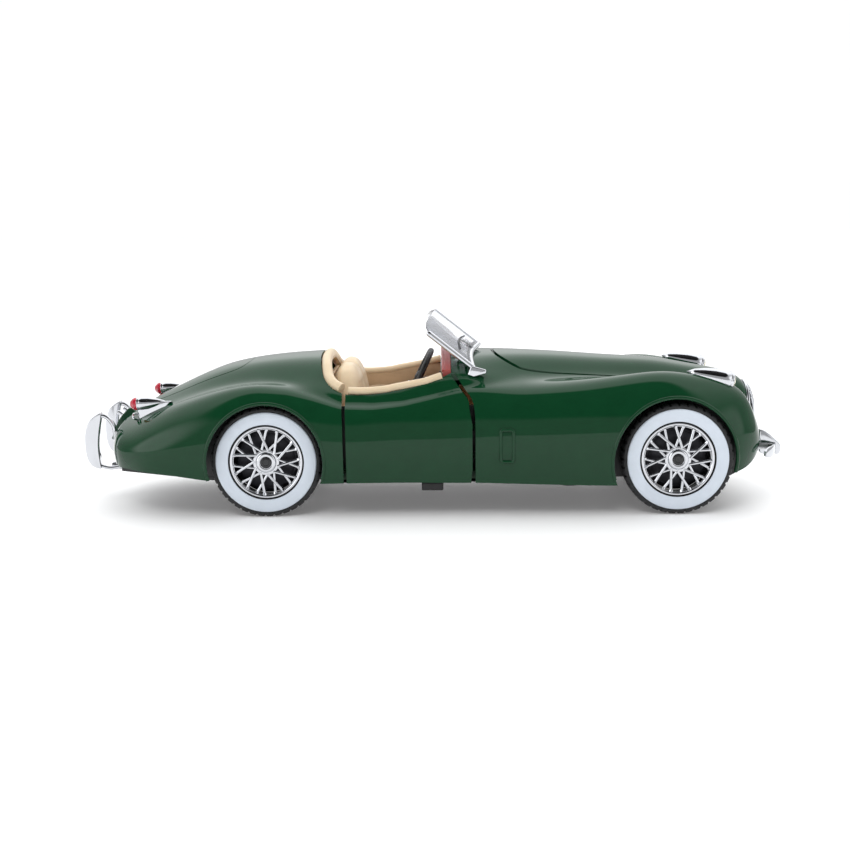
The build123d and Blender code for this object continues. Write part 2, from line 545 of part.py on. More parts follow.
# Rear overriders: a tall blade, a looped strap and a bracket a side.
REAR_BLADE = [(-100.8, 25.6), (-102.6, 25.2), (-104.3, 23.6), (-105.3, 20.5), (-105.5, 17),
              (-105.1, 13.6), (-103.9, 11.4)]
REAR_BLADE += [(-102.2, 10.6), (-101.4, 10.7), (-101.7, 13), (-101.9, 17), (-101.5, 21)]
LOOP = [(-101.6, 25.4), (-100.4, 25.5), (-98.6, 24.4), (-97.3, 22.4), (-96.9, 20), (-96.9, 18.2),
        (-97.7, 18.2), (-97.8, 20)]
LOOP += [(-98.1, 22), (-99.2, 23.7), (-100.6, 24.5), (-101.7, 24.4)]
FOOT = [(-102.4, 10.6), (-99, 10.0), (-95.2, 10.6), (-93.6, 11.5), (-93.6, 12.6), (-95.6, 11.6),
        (-99, 11.0), (-101.9, 11.7)]
rider = side_prism(REAR_BLADE, 10.2, 13.0) + side_prism(LOOP, 10.9, 12.4) + side_prism(FOOT, 10.9, 12.4)
rider += box(-97.5, -93.0, 10.6, 12.7, 18.6, 21.0)
rider = solid_of(rider - outer - base)
save(rider, "rear_overrider_left")
save(mirror_y(rider), "rear_overrider_right")
PLATE = [(-99.9, 17.6), (-97.9, 22.6), (-96.6, 24.4), (-94.8, 26.2), (-93.6, 26.4), (-93.0, 24.6),
         (-94.5, 22), (-98.0, 17.4)]
plate = side_prism(PLATE, -6.2, 6.2) - outer
save(solid_of(plate), "number_plate_mount")

# Exhaust pipe under the floor.
pipe = rod((-36.0, -7.0, 7.12), (-70.0, -7.0, 7.12), 0.85) + Pos(at(-70, -7, 7.12)) * Sphere(0.85)
pipe += rod((-70.0, -7.0, 7.12), (-99.6, -7.0, 10.45), 0.85)
pipe += box(-62, -42, -10.5, -3.5, 5.9, 8.0)
save(solid_of(pipe), "exhaust")

# Engine and radiator under the hood.
engine = box(15, 48, -5.0, 5.0, 9.2, 26.0) + box(15.5, 47.5, -3.8, 3.8, 26, 28.2)
for y in (-2.6, 2.6):
    engine += rod((15.5, y, 29.0), (47.5, y, 29.0), 1.5)
engine += box(17, 46, 5.0, 8.6, 20, 23) + rod((48, 0, 20), (50.6, 0, 20), 4.6)
save(solid_of(engine), "engine")
save(box(60, 62.2, -9, 9, 9.2, 27.5) + rod((61.1, 0, 27), (61.1, 0, 29), 1.3), "radiator")

# Wheels: tyre, pale sidewall band, wire wheel and brake drum at each corner.
TYRE = [(0, TYRE_IN_R), (0, 13.2), (0.35, 14.0), (0.9, 14.55), (1.5, TYRE_R), (TYRE_W - 1.5, TYRE_R)]
TYRE += [(TYRE_W - 0.9, 14.55), (TYRE_W - 0.35, 14.0), (TYRE_W - WALL_T, 13.4),
         (TYRE_W - WALL_T, TYRE_IN_R)]


def wheel_turned(profile, cx, face_y):
    # A turned piece, measured outwards from the wheel's inner face.
    return turned(profile, (cx, face_y - TYRE_W, AXLE_Z), (0, 1, 0))


def turned_y(profile, cx, face_y):
    outline = [at(cx + r, face_y - TYRE_W + d, AXLE_Z) for d, r in profile]
    wheel_axis = Axis(at(cx, 0, AXLE_Z), Vector(0, 1, 0))
    return revolve(Face(Wire.make_polygon(outline, close=True)), wheel_axis, 360)


def wire_wheel(cx, face_y):
    inner_y = face_y - TYRE_W
    rim_section = [(0.3, 9.3), (0.3, 10.1), (6.1, 10.1), (6.1, 9.6), (5.9, RIM_LIP_R), (4.9, 8.5), (4.4, 9.3)]
    shape = turned_y(rim_section, cx, face_y)
    for k in range(SPOKES):
        pair = 360 / (SPOKES / 2) * (k // 2)
        lean = 1 if k % 2 else -1
        a = math.radians(pair + lean * 7.5)
        b = math.radians(pair - lean * 16)
        p = (cx + 8.9 * math.cos(a), inner_y + 5.2 + 0.15 * lean, AXLE_Z + 8.9 * math.sin(a))
        q = (cx + 2.7 * math.cos(b), inner_y + 5.8 + 0.15 * lean, AXLE_Z + 2.7 * math.sin(b))
        shape += rod(p, q, SPOKE_R)
    hub = [(2.2, AXLE_R), (2.2, 3.0), (5.2, HUB_R), (6.4, HUB_R), (6.7, 2.6), (6.9, 1.9), (6.9, AXLE_R)]
    shape += turned_y(hub, cx, face_y)
    return solid_of(shape)


FRONT, REAR = WHEELBASE / 2, -WHEELBASE / 2
BAND = [(TYRE_W - WALL_T, WALL_IN_R), (TYRE_W, WALL_IN_R + 0.1), (TYRE_W, WALL_R - 0.1),
        (TYRE_W - WALL_T, WALL_R)]
DRUM = [(0.4, AXLE_R), (0.4, 8.6), (2.6, 8.6), (2.9, 8.2), (2.9, 3.2), (2.2, 3.2), (2.2, AXLE_R)]
for end, cx, face_y in (("front", FRONT, FRONT_FACE_Y), ("rear", REAR, REAR_FACE_Y)):
    pieces = (("tyre", turned_y(TYRE, cx, face_y)), ("whitewall", turned_y(BAND, cx, face_y)),
              ("wire_wheel", wire_wheel(cx, face_y)), ("brake_drum", turned_y(DRUM, cx, face_y)))
    for name, piece in pieces:
        save(piece, f"{name}_{end}_left")
        save(mirror_y(piece), f"{name}_{end}_right")
    save(rod((cx, -face_y - 0.1, AXLE_Z), (cx, face_y + 0.1, AXLE_Z), AXLE_R), f"{end}_axle")
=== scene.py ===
import math
import bmesh
import bpy
import numpy as np
from mathutils import Matrix, Vector
from mathutils.bvhtree import BVHTree


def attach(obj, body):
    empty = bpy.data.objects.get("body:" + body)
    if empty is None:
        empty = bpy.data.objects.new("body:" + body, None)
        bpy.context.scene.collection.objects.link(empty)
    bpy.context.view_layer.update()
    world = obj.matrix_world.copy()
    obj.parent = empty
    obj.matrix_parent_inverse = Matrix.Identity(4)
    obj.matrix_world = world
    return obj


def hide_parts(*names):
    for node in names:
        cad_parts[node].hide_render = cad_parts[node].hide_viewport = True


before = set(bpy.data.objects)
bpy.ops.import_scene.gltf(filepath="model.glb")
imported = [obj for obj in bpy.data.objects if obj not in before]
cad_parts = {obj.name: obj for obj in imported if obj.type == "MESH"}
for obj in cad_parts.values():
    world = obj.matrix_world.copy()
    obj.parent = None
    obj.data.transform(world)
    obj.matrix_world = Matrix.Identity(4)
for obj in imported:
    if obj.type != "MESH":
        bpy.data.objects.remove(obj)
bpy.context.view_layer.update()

# The visual model of the car. Lengths below are millimetres in the same
# layout as the part, with CX added to X, and become metres in the meshes.

MM = 0.001
CX = 10.55
AXLE_Z = 14.7
SIDES = (("left", 1), ("right", -1))
CORNERS = [(e, s) for e in ("front", "rear") for s in ("left", "right")]
AXLE_X = {"front": 54.0, "rear": -54.0}
FACE_Y = {"front": 29.4, "rear": 28.4}
TYRE_W = 6.6
SHELL_WALL = 1.5
AHEAD, ACROSS, UP = (1, 0, 0), (0, 1, 0), (0, 0, 1)


# ---------------------------------------------------------------- materials

EXTRA_INPUTS = {"ior": "IOR", "glass": "Transmission Weight", "sss": "Subsurface Weight"}
EXTRA_INPUTS["spec"] = "Specular IOR Level"


def new_material(name, base, rough, metal=0.0, coat=0.0, **more):
    # A Principled material with its nodes handy.
    m = bpy.data.materials.new(name)
    m.use_nodes = True
    b = m.node_tree.nodes["Principled BSDF"]
    b.inputs["Base Color"].default_value = (*base, 1)
    b.inputs["Roughness"].default_value = rough
    b.inputs["Metallic"].default_value = metal
    b.inputs["Coat Weight"].default_value = coat
    b.inputs["Coat Roughness"].default_value = more.get("coat_rough", 0.03)
    b.inputs["Coat IOR"].default_value = 1.34
    for key, label in EXTRA_INPUTS.items():
        if key in more:
            b.inputs[label].default_value = more[key]
    return m


def add_noise(m, scale, detail=4.0):
    # A noise texture in object space.
    t = m.node_tree
    coords = t.nodes.new("ShaderNodeTexCoord")
    noise = t.nodes.new("ShaderNodeTexNoise")
    noise.inputs["Scale"].default_value = scale
    noise.inputs["Detail"].default_value = detail
    t.links.new(coords.outputs["Object"], noise.inputs["Vector"])
    return noise


def add_bump(m, noise, strength, distance):
    # Fine relief from the noise.
    t = m.node_tree
    bump = t.nodes.new("ShaderNodeBump")
    bump.inputs["Strength"].default_value = strength
    bump.inputs["Distance"].default_value = distance
    t.links.new(noise.outputs["Fac"], bump.inputs["Height"])
    b = t.nodes["Principled BSDF"]
    t.links.new(bump.outputs["Normal"], b.inputs["Normal"])
    return bump


def add_vary(m, noise, low, high, socket="Base Color"):
    # The noise blends a colour or a value between low and high.
    t = m.node_tree
    b = t.nodes["Principled BSDF"]
    ramp = t.nodes.new("ShaderNodeValToRGB")
    ramp.color_ramp.elements[0].position = 0.3
    ramp.color_ramp.elements[1].position = 0.7
    lo = low if isinstance(low, tuple) else (low, low, low)
    hi = high if isinstance(high, tuple) else (high, high, high)
    ramp.color_ramp.elements[0].color = (*lo, 1)
    ramp.color_ramp.elements[1].color = (*hi, 1)
    t.links.new(noise.outputs["Fac"], ramp.inputs["Fac"])
    t.links.new(ramp.outputs["Color"], b.inputs[socket])


def textured(name, base, rough, scale, bump, vary=0.0, **more):
    # A material with fine bump and a little colour and roughness variation.
    m = new_material(name, base, rough, **more)
    if bump:
        add_bump(m, add_noise(m, scale), 0.35, bump)
    if vary:
        low = tuple(max(0, c * (1 - vary)) for c in base)
        high = tuple(min(1, c * (1 + vary)) for c in base)
        add_vary(m, add_noise(m, scale / 9, 3), low, high)
        add_vary(m, add_noise(m, scale / 4, 3), rough * 0.85, rough * 1.2, "Roughness")
    return m


PAINT = textured("paint_green", (0.0045, 0.0425, 0.0155), 0.5, 2200, 0.0000015, 0.05, coat=1.0,
                 coat_rough=0.02, spec=0.0)
PAINT_IN = textured("paint_inside", (0.004, 0.026, 0.009), 0.55, 3000, 0.00002, 0.15)
CHROME = textured("chrome_plate", (0.62, 0.63, 0.66), 0.09, 900, 0.000004, 0.02, metal=1.0)
STEEL = textured("plated_steel", (0.55, 0.56, 0.57), 0.28, 2500, 0.000006, 0.08, metal=1.0)
DRUM = textured("satin_drum", (0.035, 0.035, 0.04), 0.4, 1800, 0.000008, 0.12, metal=1.0)
TAN = textured("tan_plastic", (0.74, 0.58, 0.39), 0.42, 2600, 0.000012, 0.05, sss=0.04)
TAN_DEEP = textured("tan_plastic_deep", (0.50, 0.34, 0.20), 0.5, 2600, 0.00002, 0.08)
CARPET = textured("tub_floor", (0.36, 0.22, 0.13), 0.75, 5200, 0.00008, 0.2)
RED_BROWN = textured("dash_red_brown", (0.36, 0.065, 0.055), 0.4, 2300, 0.00001, 0.07)
BLACK = textured("black_plastic", (0.012, 0.012, 0.013), 0.4, 3600, 0.00002, 0.2)
GLOSS_BLACK = textured("gloss_black", (0.012, 0.012, 0.014), 0.22, 2000, 0.000004, 0.1)
RUBBER = textured("tyre_rubber", (0.012, 0.012, 0.013), 0.62, 4200, 0.00003, 0.25)
BAND = textured("whitewall_band", (0.66, 0.72, 0.80), 0.4, 3000, 0.000006, 0.03)
ENGINE = textured("engine_metal", (0.42, 0.43, 0.44), 0.42, 3000, 0.00004, 0.2, metal=0.9)
RED_LENS = textured("red_lens", (0.62, 0.02, 0.05), 0.12, 1500, 0.000004, 0.05, glass=0.25, coat=1.0)
DIAL = textured("dial_face", (0.75, 0.72, 0.64), 0.4, 2500, 0.000004, 0.05)
CLEAR = textured("clear_plastic", (0.86, 0.88, 0.93), 0.06, 700, 0.00001, 0, glass=0.86, ior=1.25)
AMBER_CLEAR = textured("lamp_glass", (0.98, 0.95, 0.78), 0.05, 900, 0.00001, 0, glass=0.92, ior=1.48)
SILVER = textured("lamp_bowl", (0.80, 0.81, 0.82), 0.16, 1500, 0.00001, 0.04, metal=1.0)


# ---------------------------------------------------------------- mesh tools

def obj_from(name, verts, faces, mat, smooth=35):
    # A mesh object from points in millimetres.
    me = bpy.data.meshes.new(name)
    pts = np.asarray(verts, float) * MM
    me.from_pydata(pts.tolist(), [], [list(f) for f in faces])
    ob = bpy.data.objects.new(name, me)
    bpy.context.scene.collection.objects.link(ob)
    tidy(ob)
    if mat:
        me.materials.append(mat)
    shade(ob, smooth)
    return ob


def tidy(ob):
    # Outward normals and no doubled points.
    bm = bmesh.new()
    bm.from_mesh(ob.data)
    bmesh.ops.remove_doubles(bm, verts=bm.verts, dist=1e-7)
    bmesh.ops.recalc_face_normals(bm, faces=bm.faces)
    bm.to_mesh(ob.data)
    bm.free()


def shade(ob, angle=35):
    ob.data.shade_smooth()
    if angle < 180:
        ob.data.set_sharp_from_angle(angle=math.radians(angle))


def applied(ob):
    # Bakes the modifiers into the mesh.
    deps = bpy.context.evaluated_depsgraph_get()
    me = bpy.data.meshes.new_from_object(ob.evaluated_get(deps), depsgraph=deps)
    ob.modifiers.clear()
    old = ob.data
    ob.data = me
    bpy.data.meshes.remove(old)
    return ob


def drop(ob):
    # Deletes an object and its mesh.
    me = ob.data
    bpy.data.objects.remove(ob)
    bpy.data.meshes.remove(me)


def cut(ob, cutter, op="DIFFERENCE"):
    # Cuts ob with the cutter, which is used up.
    mod = ob.modifiers.new("cut", "BOOLEAN")
    mod.operation = op
    mod.solver = "MANIFOLD"
    mod.object = cutter
    applied(ob)
    drop(cutter)
    return ob


def bevel(ob, width, segments=2, angle=40):
    mod = ob.modifiers.new("edge", "BEVEL")
    mod.width = width * MM
    mod.segments = segments
    mod.limit_method = "ANGLE"
    mod.angle_limit = math.radians(angle)
    mod.harden_normals = False
    applied(ob)
    shade(ob, 40)
    return ob


def prism(name, outline, axis, a, b, mat):
    # A prism from an outline: axis "y" takes (x, z), "z" (x, y), "x" (y, z).
    def place(p, d):
        if axis == "y":
            return (p[0] + CX, d, p[1])
        if axis == "z":
            return (p[0] + CX, p[1], d)
        return (d + CX, p[0], p[1])
    n = len(outline)
    verts = [place(p, a) for p in outline] + [place(p, b) for p in outline]
    faces = [list(range(n))[::-1], list(range(n, 2 * n))]
    faces += [(i, (i + 1) % n, n + (i + 1) % n, n + i) for i in range(n)]
    return obj_from(name, verts, faces, mat)


def block(name, x0, x1, y0, y1, z0, z1, mat, edge=0.0):
    # A box with softened edges. Its Y values may come in either order.
    y0, y1 = sorted((y0, y1))
    ob = prism(name, [(x0, y0), (x1, y0), (x1, y1), (x0, y1)], "z", z0, z1, mat)
    return bevel(ob, edge, 3) if edge else ob


def lathe(name, profile, origin, axis, mat, segs=64, smooth=35):
    # Turns (distance, radius) about an axis through origin.
    axis = Vector(axis).normalized()
    u = axis.orthogonal().normalized()
    w = axis.cross(u)
    origin = Vector((origin[0] + CX, origin[1], origin[2]))
    verts, rings = [], []
    for d, r in profile:
        if r < 1e-6:
            rings.append([len(verts)])
            verts.append(origin + axis * d)
            continue
        ring = []
        for k in range(segs):
            t = 2 * math.pi * k / segs
            ring.append(len(verts))
            verts.append(origin + axis * d + (u * math.cos(t) + w * math.sin(t)) * r)
        rings.append(ring)
    faces = []
    for a, b in zip(rings, rings[1:]):
        for k in range(segs):
            q = (k + 1) % segs
            if len(a) == 1 and len(b) == 1:
                break
            if len(a) == 1:
                faces.append((a[0], b[k], b[q]))
            elif len(b) == 1:
                faces.append((a[k], a[q], b[0]))
            else:
                faces.append((a[k], a[q], b[q], b[k]))
    for ring, flip in ((rings[0], 1), (rings[-1], -1)):
        if len(ring) > 1 and profile[0] != profile[-1]:
            faces.append(ring[::flip])
    return obj_from(name, [tuple(v) for v in verts], faces, mat, smooth)


def smooth_path(points, per=8, closed=False):
    # A Catmull-Rom curve through points, as a dense list.
    pts = [Vector(p) for p in points]
    n = len(pts)
    out = []
    last = n if closed else n - 1
    for i in range(last):
        p1, p2 = pts[i], pts[(i + 1) % n]
        p0 = pts[i - 1] if (i > 0 or closed) else p1 * 2 - p2
        p3 = pts[(i + 2) % n] if (i + 2 < n or closed) else p2 * 2 - p1
        for k in range(per):
            t = k / per
            out.append(0.5 * (2 * p1 + (p2 - p0) * t + (2 * p0 - 5 * p1 + 4 * p2 - p3) * t * t
                              + (3 * p1 - p0 - 3 * p2 + p3) * t ** 3))
    if not closed:
        out.append(pts[-1])
    return out


def tube(name, path, radius, mat, segs=16, closed=False, shape=None):
    # A tube along a path in the part's layout. shape(angle) scales its radius.
    pts = [Vector((p[0] + CX, p[1], p[2])) for p in path]
    n = len(pts)
    verts, faces = [], []
    normal = None
    for i, p in enumerate(pts):
        a = pts[i - 1] if (i or closed) else p
        b = pts[(i + 1) % n] if (i < n - 1 or closed) else p
        tangent = (b - a).normalized()
        if normal is None:
            normal = tangent.cross(Vector((0, 0, 1)))
            if normal.length < 1e-3:
                normal = tangent.cross(Vector((0, 1, 0)))
        normal = (normal - tangent * normal.dot(tangent)).normalized()
        side = tangent.cross(normal)
        r = radius[i] if isinstance(radius, (list, tuple)) else radius
        for k in range(segs):
            t = 2 * math.pi * k / segs
            s = shape(t) if shape else 1.0
            verts.append(p + (normal * math.cos(t) + side * math.sin(t)) * r * s)
    last = n if closed else n - 1
    for i in range(last):
        for k in range(segs):
            q = (k + 1) % segs
            j = (i + 1) % n
            faces.append((i * segs + k, i * segs + q, j * segs + q, j * segs + k))
    if not closed:
        faces.append(list(range(segs))[::-1])
        faces.append([(n - 1) * segs + k for k in range(segs)])
    return obj_from(name, [tuple(v) for v in verts], faces, mat)


def rod(name, p, q, r, mat, segs=16):
    return tube(name, [p, q], r, mat, segs)


def join(name, obs):
    # One object from several, keeping each one's material.
    bm = bmesh.new()
    mats = []
    for ob in obs:
        start = len(bm.faces)
        bm.from_mesh(ob.data)
        bm.faces.ensure_lookup_table()
        slots = list(ob.data.materials)
        for f in bm.faces[start:]:
            m = slots[min(f.material_index, len(slots) - 1)]
            if m not in mats:
                mats.append(m)
            f.material_index = mats.index(m)
    me = bpy.data.meshes.new(name)
    bm.to_mesh(me)
    bm.free()
    for m in mats:
        me.materials.append(m)
    for ob in obs:
        drop(ob)
    out = bpy.data.objects.new(name, me)
    bpy.context.scene.collection.objects.link(out)
    return out


def mirrored(ob, name):
    # A copy on the other side of the car.
    me = ob.data.copy()
    me.transform(Matrix.Scale(-1, 4, (0, 1, 0)))
    me.flip_normals()
    out = bpy.data.objects.new(name, me)
    bpy.context.scene.collection.objects.link(out)
    return out


def finish_pair(left, right_name, node, slot):
    # A left-hand piece of the car and its mirror image.
    right = mirrored(left, right_name)
    finish_piece(left, "car", [node + "_left"])
    finish_piece(right, "car", [node + "_right"])


def finish_piece(ob, body, nodes=()):
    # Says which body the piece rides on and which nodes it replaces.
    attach(ob, body)
    if nodes:
        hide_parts(*nodes)
    return ob


# ---------------------------------------------------------------- body skin

SECTIONS = [
    (-98.2, 19.6, (3.5, 19.4), (6, 18.9), (8, 18.2), (9.6, 17.3), (10.5, 16.2), (10.2, 15.0), (9, 14.0)),
    (-97.2, 22.0, (5.5, 21.8), (9, 21.1), (12, 20.2), (14.3, 18.7), (15.5, 17), (15.2, 14.8), (14, 13.2)),
    (-95.6, 23.9, (7, 23.6), (12, 22.6), (15.8, 21.2), (18.6, 19.3), (20, 17), (19.7, 14.6), (18.6, 12.6)),
    (-92, 26.4, (8, 26.0), (14, 24.4), (18.5, 22.8), (22.3, 20.4), (24.3, 17.4), (24.1, 14.6), (23, 12.4)),
    (-87, 29.2, (8.5, 28.7), (15, 26.6), (20, 25.4), (25, 22.5), (27.8, 18.5), (27.7, 15), (26.8, 12.2)),
    (-80, 32.6, (9, 31.9), (16.5, 29.2), (22, 28.6), (27.4, 25.3), (30.3, 20), (30.2, 15), (29.4, 11.8)),
    (-70, 36.9, (10, 36), (18, 32.4), (23.5, 32.2), (29.3, 28.3), (32, 21), (31.8, 15), (31, 10.6)),
    (-60, 39.3, (11, 38.2), (19.5, 34.2), (24.5, 34.8), (30.2, 30.5), (32.7, 22), (32.5, 15), (31.6, 9.7)),
    (-50, 40.4, (12, 39.2), (20.5, 34.7), (24.8, 34.7), (30.2, 30.6), (32.7, 22), (32.5, 15), (31.6, 9.4)),
    (-41, 41.0, (13, 39.5), (21.5, 34.4), (25.3, 33.0), (29.8, 29.3), (32.2, 21.5), (32, 15), (31.1, 9.4)),
    (-33, 41.2, (14, 39.6), (21.5, 33.8), (25, 31.3), (29, 28.7), (31.7, 21), (31.5, 15), (30.6, 9.4)),
    (-20, 41.3, (14.5, 39.8), (21.5, 34.6), (25, 31.9), (28.8, 29.3), (31.4, 21.5), (31.2, 15), (30.3, 9.4)),
    (-10, 41.3, (14.5, 40), (21, 36.9), (24.5, 34.3), (28.4, 30.2), (31.3, 22), (31.1, 15), (30.2, 9.3)),
    (-4, 41.3, (14, 40.1), (20, 38.0), (23.8, 35.6), (28.3, 30.9), (31.4, 22.3), (31.2, 15), (30.3, 9.2)),
    (2, 41.2, (12.8, 40.1), (19, 37.5), (23.4, 35.0), (28.2, 31.1), (31.4, 22.5), (31.2, 15), (30.3, 9.2)),
    (8, 41.1, (11.0, 40.1), (17.3, 36.6), (22.6, 34.3), (28, 31.3), (31.5, 23), (31.3, 15.5), (30.4, 9.0)),
    (18, 40.8, (9.6, 39.5), (15.8, 35.5), (21.9, 34.3), (27.9, 31.8), (31.7, 23.5), (31.6, 16), (30.7, 8.7)),
    (30, 40.0, (8.7, 38.7), (14.8, 34.9), (21, 35.2), (28, 32.6), (32.1, 24), (32.0, 16), (31.1, 8.4)),
    (42, 39.1, (8, 37.9), (13.8, 34.2), (20.8, 36.6), (28, 33.6), (32.6, 24.5), (32.5, 17), (31.6, 8.4)),
    (52, 38.4, (7.5, 37.2), (13, 33.5), (20.4, 37.3), (27.8, 33.8), (32.7, 24.5), (32.5, 17), (31.6, 8.8)),
    (60, 37.0, (7, 35.8), (12.3, 31.8), (20, 36.2), (26.9, 32.4), (31.9, 24), (31.8, 17), (30.9, 9.4)),
    (67, 35.7, (6.5, 34.4), (11.6, 29.8), (19.6, 34.7), (25.8, 30.6), (30, 22.5), (29.8, 16.5), (28.8, 10.4)),
    (71.5, 34.7, (6.3, 33.2), (11.2, 27.9), (19.2, 32.3), (24.6, 28.1), (27.6, 21), (27.3, 16), (26, 11.3)),
    (74.5, 33.5, (6, 31.6), (10.8, 25.2), (18.9, 28.6), (23, 25.0), (25, 20), (24.7, 16.2), (23.4, 12.8)),
    (76.4, 32.0, (5.6, 29.8), (10.4, 22.6), (18.2, 24.2), (21.3, 21.9), (22.6, 19), (22.3, 16.6), (21, 14.6)),
    (77.4, 30.2, (5, 27.8), (9.6, 20.4), (16.6, 21.4), (18.9, 20.1), (19.9, 18.4), (19.6, 17.1), (18.6, 16)),
]


def spline_eval(knots, values, at):
    # A natural cubic spline through rows of values.
    x = np.asarray(knots, float)
    y = np.asarray(values, float)
    y = y.reshape(len(x), -1)
    n = len(x)
    h = np.diff(x)
    a = np.zeros((n, n))
    r = np.zeros((n, y.shape[1]))
    a[0, 0] = a[-1, -1] = 1.0
    for i in range(1, n - 1):
        a[i, i - 1], a[i, i], a[i, i + 1] = h[i - 1], 2 * (h[i - 1] + h[i]), h[i]
        r[i] = 6 * ((y[i + 1] - y[i]) / h[i] - (y[i] - y[i - 1]) / h[i - 1])
    m = np.linalg.solve(a, r)
    q = np.atleast_1d(np.asarray(at, float))
    k = np.clip(np.searchsorted(x, q) - 1, 0, n - 2)
    t = (q - x[k])[:, None]
    hk = h[k][:, None]
    b = (y[k + 1] - y[k]) / hk - hk * (2 * m[k] + m[k + 1]) / 6
    return y[k] + b * t + m[k] / 2 * t ** 2 + (m[k + 1] - m[k]) / (6 * hk) * t ** 3


def skin_grid(nx=300, nv=161):
    # Points of the outer skin: [station, point, xyz] from sill to sill.
    rows = np.array([[r[1]] + [v for p in r[2:] for v in p] for r in SECTIONS])
    xs = np.array([r[0] for r in SECTIONS])
    # Stations crowd towards the rounded tail and nose.
    u = np.linspace(0, 1, nx)
    crowding = 0.105 * np.sin(2 * math.pi * u)
    stations = xs[0] + (xs[-1] - xs[0]) * (u - crowding)
    stations = np.clip(stations, xs[0], xs[-1])
    length = np.concatenate([[0], np.cumsum(np.hypot(np.diff(xs), np.abs(np.diff(rows[:, 0])) + 1e-3))])
    where = np.interp(stations, xs, length)
    table = spline_eval(length, rows, where)
    real_x = spline_eval(length, xs, where)[:, 0]
    grid = np.zeros((nx, nv, 3))
    for i in range(nx):
        half = [(0.0, table[i, 0])] + [(table[i, 1 + 2 * k], table[i, 2 + 2 * k]) for k in range(7)]
        full = np.array([(-y, z) for y, z in half[:0:-1]] + half)
        chord = np.concatenate([[0], np.cumsum(np.sqrt(np.hypot(*np.diff(full, axis=0).T)))])
        w = np.linspace(0, chord[-1], nv)
        yz = spline_eval(chord, full, w)
        step = np.concatenate([[0], np.cumsum(np.hypot(*np.diff(yz, axis=0).T))])
        even = np.linspace(0, step[-1], nv)
        grid[i, :, 0] = real_x[i]
        grid[i, :, 1] = np.interp(even, step, yz[:, 0])
        grid[i, :, 2] = np.interp(even, step, yz[:, 1])
    return faired(grid)


def faired(grid, rounds=26):
    # Smooths out ripples along and across the skin, holding the ends.
    g = grid.copy()
    nx = len(g)
    hold = np.ones(nx)
    hold[:8] = np.linspace(0, 1, 8)
    hold[-8:] = np.linspace(1, 0, 8)
    hold = hold[:, None, None]
    for _ in range(rounds):
        s = g.copy()
        s[1:-1] = 0.5 * g[1:-1] + 0.25 * (g[:-2] + g[2:])
        g = g + (s - g) * hold
        s = g.copy()
        s[:, 1:-1] = 0.7 * g[:, 1:-1] + 0.15 * (g[:, :-2] + g[:, 2:])
        g = g + (s - g) * hold
    g[:, :, 1] = 0.5 * (g[:, :, 1] - g[:, ::-1, 1])
    g[:, :, 2] = 0.5 * (g[:, :, 2] + g[:, ::-1, 2])
    g[:, :, 0] = 0.5 * (g[:, :, 0] + g[:, ::-1, 0])
    return g


# The hollow under the cockpit edge, where the fender line runs through
# the door, as X, height and depth.
CREASE = [(-56, 34.4, 0.0), (-48, 34.2, 0.25), (-41, 32.3, 0.5), (-34, 29.9, 0.6), (-26, 29.6, 0.6),
          (-18, 30.4, 0.6)]
CREASE += [(-12, 31.7, 0.6), (-6, 33.0, 0.55), (-2, 33.8, 0.5), (7, 34.4, 0.35), (14, 34.6, 0.0)]


def creased(grid):
    # Presses a soft hollow along CREASE, with a slight crest under it.
    normals = grid_normals(grid)
    xs, heights, depths = np.array(CREASE).T
    where = np.clip(grid[:, :, 0], xs[0], xs[-1])
    level = grid[:, :, 2] - np.interp(where, xs, heights)
    depth = np.interp(where, xs, depths) * (np.abs(grid[:, :, 1]) > 15)
    depth = depth * (grid[:, :, 0] > xs[0]) * (grid[:, :, 0] < xs[-1])
    push = 0.25 * np.exp(-((level + 1.9) / 1.3) ** 2) - np.exp(-((level - 0.5) / 1.1) ** 2)
    return grid + normals * (push * depth)[:, :, None]


def grid_normals(g):
    # Unit normals of the grid, pointing out of the car.
    du = np.gradient(g, axis=0)
    dv = np.gradient(g, axis=1)
    n = np.cross(du, dv)
    n /= np.linalg.norm(n, axis=2, keepdims=True) + 1e-12
    if n[len(n) // 2, g.shape[1] // 2, 2] < 0:
        n = -n
    return n


GRID = creased(skin_grid())
GRID_N = grid_normals(GRID)


def top_z(x, y):
    # Height of the skin at X and Y.
    i = int(np.argmin(np.abs(GRID[:, GRID.shape[1] // 2, 0] - x)))
    row = GRID[i]
    mid = GRID.shape[1] // 2
    half = row[mid:] if y >= 0 else row[mid::-1]
    k = int(np.argmax(np.abs(half[:, 1]) >= abs(y)))
    a, b = half[max(k - 1, 0)], half[k]
    t = (abs(y) - abs(a[1])) / max(abs(b[1]) - abs(a[1]), 1e-6)
    return float(a[2] + (b[2] - a[2]) * t)


def closed_skin(name, wall):
    # The hollow shell: outer skin, inner skin, rolled sill edges and ends.
    g, n = GRID, GRID_N
    nx, nv = g.shape[:2]
    inner = g - n * wall
    inner[:, :, 0] = np.clip(inner[:, :, 0], g[0, 0, 0] + wall, g[-1, 0, 0] - wall)
    verts = np.concatenate([g.reshape(-1, 3), inner.reshape(-1, 3)])
    verts[:, 0] += CX
    size = nx * nv
    faces = []
    for i in range(nx - 1):
        for j in range(nv - 1):
            a = i * nv + j
            faces.append((a, a + 1, a + nv + 1, a + nv))
            b = a + size
            faces.append((b, b + nv, b + nv + 1, b + 1))
    for j in (0, nv - 1):
        for i in range(nx - 1):
            a = i * nv + j
            faces.append((a, a + nv, a + nv + size, a + size))
    for i in (0, nx - 1):
        ring = [i * nv + j for j in range(nv)]
        faces.append(ring)
        faces.append([v + size for v in ring][::-1])
        faces.append([ring[0], ring[-1], ring[-1] + size, ring[0] + size])
    return obj_from(name, verts, faces, PAINT, 40)


